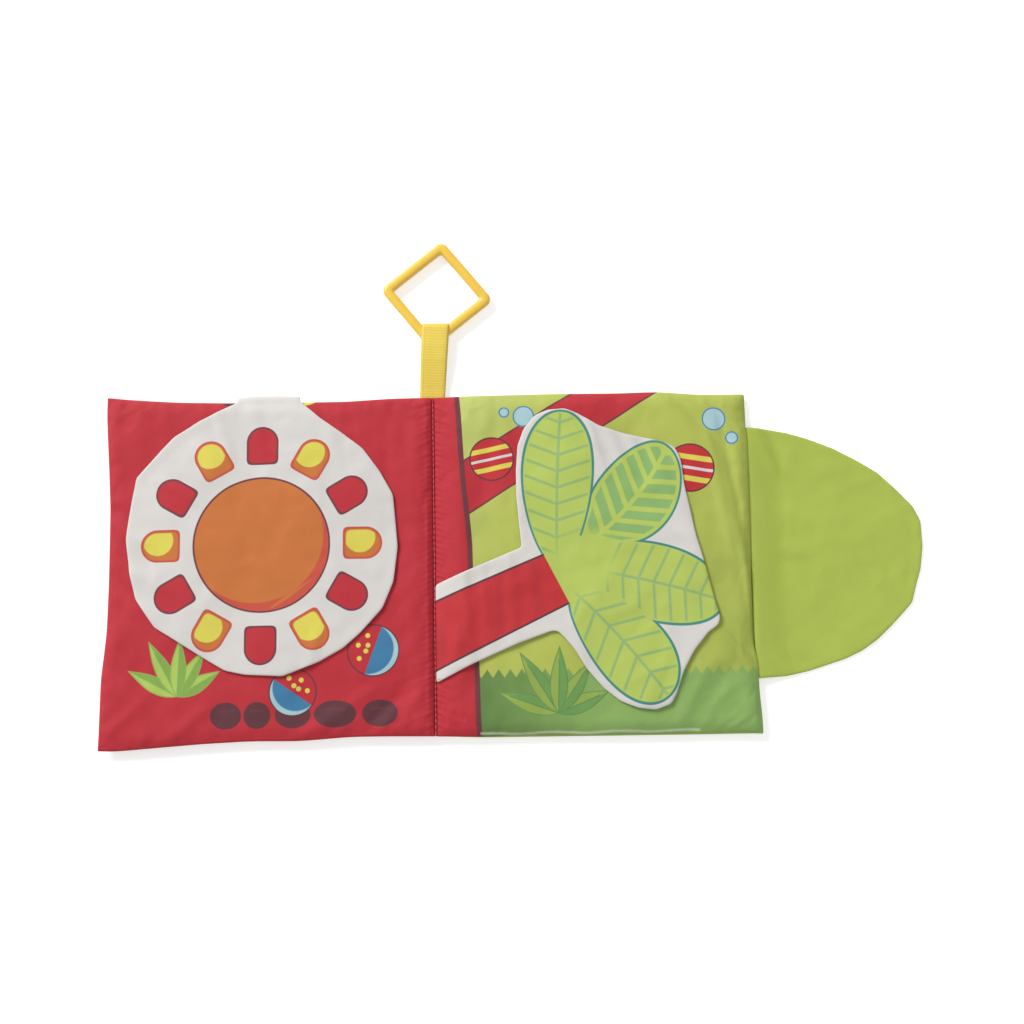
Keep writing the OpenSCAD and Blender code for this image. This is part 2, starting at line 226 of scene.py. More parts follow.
class Painter:
    """Draws a print in flat millimetres of cloth; a shape's field is negative inside it."""

    def __init__(self, tree: bpy.types.NodeTree, ground: Colour) -> None:
        """Starts from a plain ground colour.

        Args:
            tree: Node tree of the material.
            ground: Colour of the cloth before anything is printed on it.
        """
        self.tree = tree
        uv_map = tree.nodes.new("ShaderNodeUVMap")
        uv_map.uv_map = CLOTH_UV
        place = tree.nodes.new("ShaderNodeVectorMath")
        place.operation = "MULTIPLY_ADD"
        tree.links.new(uv_map.outputs[0], place.inputs[0])
        place.inputs[1].default_value = (UV_SPAN, UV_SPAN, 0)
        place.inputs[2].default_value = (-UV_ORIGIN[0] * UV_SPAN, -UV_ORIGIN[1] * UV_SPAN, 0)
        self.place = place.outputs[0]
        split = tree.nodes.new("ShaderNodeSeparateXYZ")
        tree.links.new(self.place, split.inputs[0])
        self.x = Field(tree, split.outputs[0])
        self.y = Field(tree, split.outputs[1])
        self.colour: bpy.types.NodeSocket | Colour = ground

    def vector(self, operation: str, value: tuple[float, float, float]) -> Field:
        """Number that a vector operation gives for the place and a constant."""
        made = self.tree.nodes.new("ShaderNodeVectorMath")
        made.operation = operation
        self.tree.links.new(self.place, made.inputs[0])
        made.inputs[1].default_value = value
        return Field(self.tree, made.outputs["Value"])

    def local(self, centre: Point, direction: float) -> tuple[Field, Field]:
        """Coordinates along and across a direction.

        Args:
            centre: Where both are 0.
            direction: Angle of the first axis, in degrees.

        Returns:
            The place along the direction, and across it to its left.
        """
        c, s = turned(direction)
        along = self.vector("DOT_PRODUCT", (c, s, 0)) - (centre[0] * c + centre[1] * s)
        across = self.vector("DOT_PRODUCT", (-s, c, 0)) - (centre[1] * c - centre[0] * s)
        return along, across

    def convex(self, corners: tuple[Point, ...]) -> Field:
        """Field of a convex shape whose corners run anticlockwise."""
        shape = None
        for (x, y), (next_x, next_y) in zip(corners, (*corners[1:], corners[0])):
            size = math.hypot(next_x - x, next_y - y)
            out_x, out_y = (next_y - y) / size, (x - next_x) / size
            side = self.vector("DOT_PRODUCT", (out_x, out_y, 0)) - (x * out_x + y * out_y)
            shape = side if shape is None else shape.max(side)
        return shape

    def circle(self, centre: Point, radius: float) -> Field:
        """Field of a circle."""
        return self.vector("DISTANCE", (*centre, 0)) - radius

    def noise(self, size: float, detail: float = 2.0, stretch: Point = (1, 1), turn: float = 0) -> Field:
        """Noise from about 0 to 1.

        Args:
            size: Size of its features, in millimetres.
            detail: Octaves of finer noise.
            stretch: How much longer the features are along X and Y.
            turn: Angle by which the pattern is turned, in degrees.

        Returns:
            The noise.
        """
        mapping = self.tree.nodes.new("ShaderNodeMapping")
        self.tree.links.new(self.place, mapping.inputs["Vector"])
        mapping.inputs["Rotation"].default_value = (0, 0, math.radians(turn))
        mapping.inputs["Scale"].default_value = (1 / stretch[0] / size, 1 / stretch[1] / size, 1)
        made = self.tree.nodes.new("ShaderNodeTexNoise")
        made.inputs["Scale"].default_value = 1.0
        made.inputs["Detail"].default_value = detail
        self.tree.links.new(mapping.outputs[0], made.inputs["Vector"])
        return Field(self.tree, made.outputs[0])

    def paint(self, mask: Field, colour: Colour | bpy.types.NodeSocket) -> None:
        """Lays a colour over what is painted so far, where the mask is 1."""
        mix = self.tree.nodes.new("ShaderNodeMix")
        mix.data_type = "RGBA"
        self.tree.links.new(mask.socket, mix.inputs[0])
        for value, socket in ((self.colour, mix.inputs[6]), (colour, mix.inputs[7])):
            if isinstance(value, bpy.types.NodeSocket):
                self.tree.links.new(value, socket)
            else:
                socket.default_value = value
        self.colour = mix.outputs[2]

    def mottle(self, size: float, amount: float) -> None:
        """Varies the brightness of what is painted so far.

        Args:
            size: Size of the patches, in millimetres.
            amount: Most that the brightness changes, as a share.
        """
        change = self.tree.nodes.new("ShaderNodeHueSaturation")
        level = self.noise(size, 3.0) * (2 * amount) + (1 - amount)
        self.tree.links.new(level.socket, change.inputs["Value"])
        if isinstance(self.colour, bpy.types.NodeSocket):
            self.tree.links.new(self.colour, change.inputs["Color"])
        else:
            change.inputs["Color"].default_value = self.colour
        self.colour = change.outputs[0]


@dataclass(frozen=True)
class ClothFinish:
    """Woven cloth: its sheen, weave and small creases."""

    roughness: float = 0.62
    sheen: float = 0.07
    weave_pitch: float = 0.42
    weave_depth: float = 0.03
    crease_size: float = 7.0
    crease_depth: float = 0.2
    fold_depth: float = 0.5
    seam_depth: float = 0.0
    sheen_roughness: float = 0.45
    gloss: float = 0.3
    patch_size: float = 16.0
    thread_size: float = 1.1

    def material(self, name: str, ground: Colour, draw: Callable[[Painter], None] | None = None,
                 mottle: float = 0.06) -> bpy.types.Material:
        """Material of this cloth with a print on it.

        Args:
            name: The material's name.
            ground: Colour of the cloth under the print.
            draw: Paints the print, or None for plain cloth.
            mottle: How much the dye's brightness varies.

        Returns:
            The material.
        """
        made = bpy.data.materials.new(name)
        made.use_nodes = True
        tree = made.node_tree
        shader = tree.nodes["Principled BSDF"]
        painter = Painter(tree, ground)
        if draw is not None:
            draw(painter)
        painter.mottle(self.patch_size, mottle)
        painter.mottle(self.thread_size, mottle * 0.6)
        tree.links.new(painter.colour, shader.inputs["Base Color"])
        shader.inputs["Sheen Weight"].default_value = self.sheen
        shader.inputs["Sheen Roughness"].default_value = self.sheen_roughness
        shader.inputs["Specular IOR Level"].default_value = self.gloss
        rough = painter.noise(9.0, 2.0) * 0.14 + (self.roughness - 0.07)
        tree.links.new(rough.socket, shader.inputs["Roughness"])
        turns = 2 * math.pi / self.weave_pitch
        weave = (painter.x * turns).node("SINE") * (painter.y * turns).node("SINE")
        crease = painter.noise(self.crease_size, 4.0, stretch=(1.0, 1.5), turn=20)
        height = (weave * self.weave_depth).node_add_product(crease, self.crease_depth)
        if self.fold_depth:
            height = height + abs(painter.noise(15.0, 1.0, turn=40) - 0.5) * self.fold_depth
        if self.seam_depth:
            reach = abs(painter.x)
            slant = (painter.y + reach * 0.4 + painter.noise(7.0) * 3.0) * (2 * math.pi / 2.7)
            fade = (reach * -0.34).node("EXPONENT")
            height = height.node_add_product(slant.node("SINE") * fade, self.seam_depth)
        bump = tree.nodes.new("ShaderNodeBump")
        bump.inputs["Distance"].default_value = MM
        bump.inputs["Strength"].default_value = 1.0
        tree.links.new(height.socket, bump.inputs["Height"])
        tree.links.new(bump.outputs[0], shader.inputs["Normal"])
        return made


@dataclass(frozen=True)
class PlasticFinish:
    """Moulded plastic with a soft gloss."""

    colour: Colour
    roughness: float = 0.34

    def material(self, name: str) -> bpy.types.Material:
        """Material of the plastic.

        Args:
            name: The material's name.

        Returns:
            The material.
        """
        made = bpy.data.materials.new(name)
        made.use_nodes = True
        tree = made.node_tree
        shader = tree.nodes["Principled BSDF"]
        shader.inputs["Subsurface Weight"].default_value = 0.12
        shader.inputs["Subsurface Radius"].default_value = (0.002, 0.0012, 0.0004)
        place = tree.nodes.new("ShaderNodeTexCoord").outputs["Object"]
        cloud = tree.nodes.new("ShaderNodeTexNoise")
        cloud.inputs["Scale"].default_value = 160
        cloud.inputs["Detail"].default_value = 4
        tree.links.new(place, cloud.inputs["Vector"])
        tone = tree.nodes.new("ShaderNodeHueSaturation")
        tone.inputs["Color"].default_value = self.colour
        level = Field(tree, cloud.outputs[0]) * 0.16 + 0.92
        tree.links.new(level.socket, tone.inputs["Value"])
        tree.links.new(tone.outputs[0], shader.inputs["Base Color"])
        rough = Field(tree, cloud.outputs[0]) * 0.2 + (self.roughness - 0.1)
        tree.links.new(rough.socket, shader.inputs["Roughness"])
        fine = tree.nodes.new("ShaderNodeTexNoise")
        fine.inputs["Scale"].default_value = 1500
        tree.links.new(place, fine.inputs["Vector"])
        bump = tree.nodes.new("ShaderNodeBump")
        bump.inputs["Distance"].default_value = 0.02 * MM
        tree.links.new(fine.outputs[0], bump.inputs["Height"])
        tree.links.new(bump.outputs[0], shader.inputs["Normal"])
        return made


@dataclass(frozen=True)
class Inks:
    """Colours of the printing inks and the dyed cloth."""

    red: Colour = ink("bd2b36")
    green: Colour = ink("b6c058")
    grass: Colour = ink("8aaf5f")
    white: Colour = ink("dcd8d4")
    maroon: Colour = ink("6e333c")
    dark: Colour = ink("5c2f36")
    orange: Colour = ink("ca7437")
    rim_red: Colour = ink("c9503f")
    yellow: Colour = ink("dfd457")
    blue: Colour = ink("3f7ca6")
    pale_blue: Colour = ink("aacdd2")
    leaf: Colour = ink("b8cb60")
    leaf_shade: Colour = ink("8cb66c")
    vein: Colour = ink("8db377")
    teal: Colour = ink("3f8a80")
    blade: Colour = ink("aecb5c")
    blade_shade: Colour = ink("86ab4c")
    trunk: Colour = ink("c32e33")


INKS = Inks()


def tuft(painter: Painter, base: Point, light: Colour, shade: Colour, line: Colour,
         size: float = 1.0, spread: float = 1.0) -> None:
    """Paints a tuft of five grass blades.

    Args:
        painter: Draws on the cloth.
        base: Where the blades start.
        light: Colour of a blade's lit side.
        shade: Colour of its other side.
        line: Colour of its edge and middle line.
        size: Size of the tuft, where 1 is 28 mm high.
        spread: How wide the blades fan out, where 1 is 62 degrees to each side.
    """
    for blade_length, direction in ((25, 152), (22, 30), (28, 118), (24, 60), (26, 88)):
        length = blade_length * size
        along, across = painter.local(base, 90 + (direction - 90) * spread)
        share = (along * (1 / length)).max(0.0).min(1.0)
        half = (share.node("POWER", 0.8) * math.pi).node("SINE") * 3.6 * size
        blade = (abs(across) - half).max(abs(along - length / 2) - length / 2)
        painter.paint(blade.mask(), light)
        painter.paint(blade.max(across).mask(0.4), shade)
        edge = abs(blade + 0.25) - 0.2
        middle = (abs(across) - 0.22).max(blade).max(along - length * 0.8).max(-along)
        painter.paint(edge.min(middle).mask(0.3), line)


def ball_half(painter: Painter, centre: Point, radius: float, turn: float) -> tuple[Field, Field]:
    """Fields of a ball and of its half that a turned line bounds."""
    ball = painter.circle(centre, radius)
    _, across = painter.local(centre, turn)
    return ball, ball.max(-across)


def left_page_print(painter: Painter) -> None:
    """Paints the left page: a grass tuft, pebbles and two two-coloured balls."""
    pebble_y, half_high = -66, 6.0
    for reach, half_wide in ((94, 7), (80, 6), (64, 8), (45, 9.5), (25, 8)):
        along = (painter.x + reach) * (1 / half_wide)
        across = (painter.y - pebble_y) * (1 / half_high)
        pebble = (along.hypot(across) - 1.0) * half_high
        painter.paint(pebble.mask(0.4), INKS.dark)
        shine = pebble.max(abs(across - 0.35) * half_high - 0.5).max(abs(along) * half_high - 3.0)
        painter.paint(shine.mask(0.6), INKS.maroon)
    tuft(painter, (-116, -57), INKS.blade, INKS.blade_shade, INKS.grass)
    for centre, radius, turn in (((-28, -38), 11.5, 70), ((-64, -56), 10.5, -35)):
        ball, half = ball_half(painter, centre, radius, turn)
        painter.paint(ball.mask(), INKS.blue)
        c, s = turned(turn - 90)
        shade = painter.circle((centre[0] - 2.5 * c, centre[1] - 2.5 * s), radius)
        painter.paint(ball.max(-shade).max(-half).mask(0.5), INKS.pale_blue)
        painter.paint(half.mask(), INKS.red)
        for share, angle in ((0.62, 40), (0.62, 90), (0.62, 140), (0.28, 65), (0.28, 115)):
            c, s = turned(turn + angle)
            reach = share * radius
            dot = painter.circle((centre[0] + c * reach, centre[1] + s * reach), 1.1)
            painter.paint(dot.mask(), INKS.yellow)
        painter.paint((abs(ball) - 0.3).mask(), INKS.dark)
    for place, reach, rise, colour in ((-93.5, 4.6, 3.0, INKS.dark), (-59.5, 5.2, 2.8, INKS.yellow)):
        sliver = ((painter.x - place) * (1 / reach)).hypot((painter.y - 79.2) * (1 / rise)) - 1.0
        painter.paint((sliver * rise).mask(), colour)


def sun_print(painter: Painter) -> None:
    """Paints the sun: an orange disc with a red crescent, in a ring of twelve rays."""
    middle, disc_radius, ray_reach, ray_half = (-78.5, 11.0), 30.4, 46.0, 6.5
    disc = painter.circle(middle, disc_radius)
    painter.paint((disc - 0.9).mask(), INKS.maroon)
    painter.paint(disc.mask(), INKS.orange)
    lit = painter.circle((middle[0] - 3.0, middle[1] + 4.5), 31.2)
    painter.paint(disc.max(-lit).mask(0.5), INKS.rim_red)
    along, across = painter.local((middle[0] + 12, middle[1] - 24), 35)
    stripe = (abs(across) + abs(along) * 0.06 - 0.9).max(disc + 1.0)
    painter.paint(stripe.mask(0.4), INKS.orange)
    dx, dy = painter.x - middle[0], painter.y - middle[1]
    sector = math.radians(30)
    turns = dy.node("ARCTAN2", dx) * (1 / sector) - 3.0
    number = turns.node("ROUND")
    offset = (turns - number) * sector
    reach = dx.hypot(dy)
    along = reach * offset.node("COSINE") - ray_reach
    across = reach * offset.node("SINE")
    ray = (along - 1.5).max(0.0).hypot(across) - ray_half
    ray = ray.node("SMOOTH_MAX", -along - 8.0, 4.0)
    odd = number.node("FLOORED_MODULO", 2.0)
    heading = (number + 3.0) * sector
    rim = (ray - 0.9).mask()
    painter.paint(rim, INKS.maroon)
    painter.paint(rim * odd, INKS.rim_red)
    fill = ray.mask()
    painter.paint(fill, INKS.red)
    painter.paint(fill * odd, INKS.orange)
    local_x = dx - heading.node("COSINE") * ray_reach
    local_y = dy - heading.node("SINE") * ray_reach
    lit = (local_x + 1.2).hypot(local_y - 2.6) - 7.0
    painter.paint(lit.max(ray + 0.5).mask(0.4) * odd, INKS.yellow)


def right_page_print(painter: Painter) -> None:
    """Paints the right page: a trunk's edge, a branch, grass, a tuft, balls and bubbles, over a ground with painted
    light towards the top left and painted shade towards the lower right.
    """
    x, y = painter.x, painter.y
    # Painted light: the green ground is lighter towards the top left, where the light falls.
    painted_light = (x * -0.02).node_add_product(y, 0.008) + 0.6
    painter.paint(painted_light.node("MULTIPLY", 0.75, clamp=True), ink("c5d07a"))
    # Painted shade: the green ground is darker towards the lower right, where the page folds.
    darkening = (x * 0.011).node_add_product(y, -0.006) - 0.75
    painter.paint(darkening.node("MULTIPLY", 0.5, clamp=True), ink("9dad4c"))
    wobble = (y * 0.11).node("SINE") * 0.25
    trunk = x - (y * -0.075 + 15.68).min(y * -0.0426 + 15.38) - wobble
    branch = (y * -1.0).node_add_product(x, 0.6385) + 12.8
    branch = branch.max(y.node_add_product(x, -0.62) - 40.2) * 0.85
    painter.paint(branch.mask(), INKS.maroon)
    painter.paint((branch + 0.9).mask(), INKS.red)
    grass = y + 51.4 - x.node("PINGPONG", 2.6) * 1.45
    painter.paint(grass.mask(0.6), INKS.grass)
    # The grass is darker towards the spine.
    darkening = (x * (-1 / 55) + 1.35).node("MULTIPLY", 0.8, clamp=True)
    painter.paint(darkening * grass.mask(0.6), ink("53743a"))
    tuft(painter, (55, -67.5), ink("95ae4e"), ink("6f9c52"), ink("5c8c52"), size=1.15, spread=1.13)
    for centre, radius in (((42, 69), 5), ((33, 71), 2.5), ((130, 66), 5.5), ((138, 57), 3)):
        bubble = painter.circle(centre, radius)
        painter.paint(bubble.mask(), INKS.pale_blue)
        painter.paint((abs(bubble + 0.3) - 0.3).mask(), INKS.blue)
    for centre, radius, turn in (((27, 49), 10, 12), ((118, 43), 11, -10)):
        ball = painter.circle(centre, radius)
        _, across = painter.local(centre, turn)
        painter.paint(ball.mask(), INKS.trunk)
        strips = abs(abs(across) - 0.45 * radius) - 0.11 * radius
        painter.paint(strips.max(ball).mask(), INKS.yellow)
        thin = abs(across) - 0.06 * radius
        painter.paint(thin.max(ball).mask(), INKS.white)
        painter.paint((abs(ball) - 0.35).mask(), INKS.dark)
    painter.paint((trunk - 2.4).mask(), INKS.maroon)
    painter.paint(trunk.mask(0.5), INKS.red)
    # A pale greenish-white line painted along the bottom edge.
    pale_edge_line = abs(y + 76.5 + (x * 0.21).node("SINE") * 0.3 - painter.noise(5.0) * 0.6) - 0.5
    painter.paint(pale_edge_line.max(abs(x - 69) - 49).mask(0.8) * 0.7, ink("d3dcc0"))


@dataclass(frozen=True)
class BroadLeaf:
    """A printed leaf: a bent egg shape with a middle vein and ribs."""

    middle: Point
    length: float
    width: float
    direction: float
    egg: float
    bend: float
    lean: float
    pitch: float

    def fields(self, painter: Painter) -> tuple[Field, Field, Field]:
        """Signed distance to the leaf's edge, distance from its middle vein, and place along its ribs."""
        along, across = painter.local(self.middle, self.direction)
        share = along * (2 / self.length)
        across = across.node_add_product(share * share - 1.0, self.bend)
        side = (across * (2 / self.width)).node("DIVIDE", share * self.egg + 1.0)
        reach = share.hypot(side)
        slope = (share * (2 / self.length)).hypot(side * (2 / self.width))
        spread = abs(across)
        c, s = turned(self.lean)
        return (reach * (reach - 1.0)).node("DIVIDE", slope + 0.001), spread, along * c - spread * s


LEAVES = (
    BroadLeaf((83.7, -37.1), 62.6, 31.5, -49.2, 0.23, 1.6, 27, 8.2),
    BroadLeaf((92.0, -9.8), 79.0, 33.5, -13.0, 0.2, 2.0, 14, 7.0),
    BroadLeaf((91.3, 32.4), 52.5, 35.0, 51.1, -0.07, -2.7, 33, 13.0),
    BroadLeaf((57.6, 34.6), 71.5, 30.6, 87.5, 0.24, 0.9, 20, 7.2),
)


def tree_print(painter: Painter) -> None:
    """Paints the tree flap: a trunk that ends in four broad leaves with veins, and painted shade of folds across the
    trunk.
    """
    x, y = painter.x, painter.y
    upper = y.node_add_product(x, -0.412) + 16.2
    lower = (y * -1.0).node_add_product(x, 0.4843) - 48.5
    trunk = upper.max(lower).max(x - 62)
    painter.paint(trunk.mask(), INKS.dark)
    painter.paint((trunk + 1.1).mask(), INKS.trunk)
    # Painted shade: darker red streaks across the trunk strap, where it folds.
    fold_streak_shade = painter.noise(5.5, 0.0, stretch=(1, 5), turn=66)
    painter.paint((fold_streak_shade * -1.0 + 0.6).max((trunk + 2.0) * 0.2).mask(0.3) * 0.5, ink("ab2833"))
    hub = painter.convex(((50.2, 3.2), (61.3, -18.9), (96.1, -25.3), (91, 6.7), (66.1, 12.4)))
    join = painter.convex(((66.1, 11.2), (91.2, 5.5), (84, 16), (71.4, 27)))
    (low, *_), (right, *_), (upper_right, *_), (top, *_) = shapes = [leaf.fields(painter) for leaf in LEAVES]
    fan = hub.min(low).min(right).min(upper_right).min(join)
    painter.paint((fan - 1.05).max(-trunk).mask(), INKS.teal)
    painter.paint(fan.mask(), INKS.leaf)
    painter.paint((top - 1.05).max(-hub).max(-trunk - 0.2).mask(), INKS.teal)
    painter.paint(top.mask(), INKS.leaf)
    clear = (-painter.circle((68, 0), 15.0)).mask(8.0)
    areas = (low.max(-top), right.max(-low).max(-top), upper_right.min(join).max(-top).max(-hub), top)
    for leaf, area, (_, spread, ribs) in zip(LEAVES, areas, shapes):
        strips = ribs.node("PINGPONG", leaf.pitch / 2)
        inside = area + 0.7
        if leaf is LEAVES[2]:
            patch = abs(strips - leaf.pitch / 4) - 2.1
            painter.paint(patch.max(inside + 1.0).max(-spread + 1.0).mask(0.4) * clear, INKS.leaf_shade)
        else:
            painter.paint((strips - 0.6).min(spread - 0.6).max(inside).mask(0.8) * 0.9 * clear, INKS.vein)


@dataclass
class EdgeLine:
    """A sewn edge: a smooth line through a few places, each along the edge and off it."""

    places: tuple[Point, ...]
    soft: float = 3.5
    table: tuple[np.ndarray, np.ndarray] = field(init=False)

    def __post_init__(self) -> None:
        """Makes the table of the smoothed line."""
        along, off = np.array(sorted(self.places)).T
        spots = np.arange(along[0] - 30, along[-1] + 30, 0.5)
        values = np.interp(spots, along, off)
        reach = np.arange(-3 * self.soft, 3 * self.soft + 0.1, 0.5)
        kernel = np.exp(-0.5 * (reach / self.soft) ** 2)
        padded = np.pad(values, len(reach) // 2, mode="edge")
        self.table = (spots, np.convolve(padded, kernel / kernel.sum(), mode="valid"))

    def at(self, along: float) -> float:
        """Where the edge is, at a place along it."""
        return float(np.interp(along, *self.table))


@dataclass(frozen=True)
class Crease:
    """A long soft ridge, or a groove where its height is below 0."""

    start: Point
    end: Point
    width: float
    height: float

    def at(self, x: float, y: float) -> float:
        """The crease's height at a place."""
        dx, dy = self.end[0] - self.start[0], self.end[1] - self.start[1]
        length = math.hypot(dx, dy)
        share = ((x - self.start[0]) * dx + (y - self.start[1]) * dy) / length ** 2
        off = ((x - self.start[0]) * dy - (y - self.start[1]) * dx) / length
        ends = float(smoothstep(share * 4) * smoothstep((1 - share) * 4))
        return self.height * ends * math.exp(-(off / self.width) ** 2)


def finish_mesh(name: str, bm: bmesh.types.BMesh, materials: list[bpy.types.Material],
                flat: Callable[[bmesh.types.BMVert], Point] | None = None) -> bpy.types.Object:
    """Turns a bmesh in millimetres into a smooth object in metres.

    Args:
        name: The object's name.
        bm: The mesh, which is freed.
        materials: One material for each slot.
        flat: Place of a vertex on the flat cloth, for the UV map, or None for its X and Y.

    Returns:
        The object, in the scene.
    """
    layer = bm.loops.layers.uv.new(CLOTH_UV)
    places = {v: (flat(v) if flat else (v.co.x, v.co.y)) for v in bm.verts}
    for face in bm.faces:
        face.smooth = True
        for loop in face.loops:
            u, v = places[loop.vert]
            loop[layer].uv = (u / UV_SPAN + UV_ORIGIN[0], v / UV_SPAN + UV_ORIGIN[1])
    bmesh.ops.scale(bm, vec=(MM, MM, MM), verts=bm.verts)
    bmesh.ops.recalc_face_normals(bm, faces=bm.faces)
    mesh = bpy.data.meshes.new(name)
    bm.to_mesh(mesh)
    bm.free()
    made = bpy.data.objects.new(name, mesh)
    bpy.context.scene.collection.objects.link(made)
    for material in materials:
        mesh.materials.append(material)
    return made


def double_layer(bm: bmesh.types.BMesh) -> tuple[list[bmesh.types.BMVert], list[bmesh.types.BMVert]]:
    """Extrudes flat cloth into two layers, and gives the lower one the second material.

    Args:
        bm: The flat cloth.

    Returns:
        Points of the lower layer, and of the upper one.
    """
    lower = list(bm.verts)
    grown = bmesh.ops.extrude_face_region(bm, geom=bm.faces[:])["geom"]
    upper = [v for v in grown if isinstance(v, bmesh.types.BMVert)]
    top_faces = {f for f in grown if isinstance(f, bmesh.types.BMFace)}
    below = set(lower)
    for face in bm.faces:
        face.material_index = 0 if face in top_faces or not set(face.verts) <= below else 1
    return lower, upper


def subdivide_smooth(piece: bpy.types.Object, levels: int = 1) -> None:
    """Adds a subdivision surface with the same levels in the view and the render."""
    modifier = piece.modifiers.new("round", "SUBSURF")
    modifier.levels = modifier.render_levels = levels


def puff(piece: bpy.types.Object, pinned: Callable[[Vector], float], pressure: float, growth: float,
         cap: float) -> None:
    """Fills a closed cloth piece by a short cloth simulation, and keeps the move below a cap.

    Args:
        piece: The piece, whose mesh takes the result.
        pinned: How firmly a place is held, from 0 to 1.
        pressure: Pressure inside the piece.
        growth: Share by which the cloth is larger than its form, which makes it wrinkle.
        cap: Most that a point may move, in millimetres.
    """
    group = piece.vertex_groups.new(name="held")
    for vertex in piece.data.vertices:
        group.add([vertex.index], pinned(vertex.co / MM), "REPLACE")
    modifier = piece.modifiers.new("puff", "CLOTH")
    cloth = modifier.settings
    cloth.quality = 4
    cloth.mass = 0.2
    cloth.tension_stiffness = cloth.compression_stiffness = 12
    cloth.shear_stiffness = 4
    cloth.bending_stiffness = 0.3
    cloth.use_pressure = True
    cloth.uniform_pressure_force = pressure
    cloth.shrink_min = -growth
    cloth.vertex_group_mass = group.name
    cloth.effector_weights.gravity = 0
    modifier.collision_settings.use_collision = False
    scene = bpy.context.scene
    for step in range(1, PUFF_FRAMES + 1):
        scene.frame_set(step)
    graph = bpy.context.evaluated_depsgraph_get()
    result = piece.evaluated_get(graph).to_mesh()
    moved = np.empty(len(result.vertices) * 3)
    result.vertices.foreach_get("co", moved)
    piece.evaluated_get(graph).to_mesh_clear()
    start = np.empty(len(piece.data.vertices) * 3)
    piece.data.vertices.foreach_get("co", start)
    start, moved = start.reshape(-1, 3), moved.reshape(-1, 3)
    move = moved - start
    size = np.linalg.norm(move, axis=1, keepdims=True)
    limit = cap * MM
    move *= limit / (limit + size)
    log.info("%s: moved up to %.2f mm, kept up to %.2f mm", piece.name, size.max() / MM,
             np.linalg.norm(move, axis=1).max() / MM)
    piece.modifiers.remove(modifier)
    piece.vertex_groups.remove(group)
    piece.data.vertices.foreach_set("co", (start + move).ravel())
    piece.data.update()
    scene.frame_set(1)


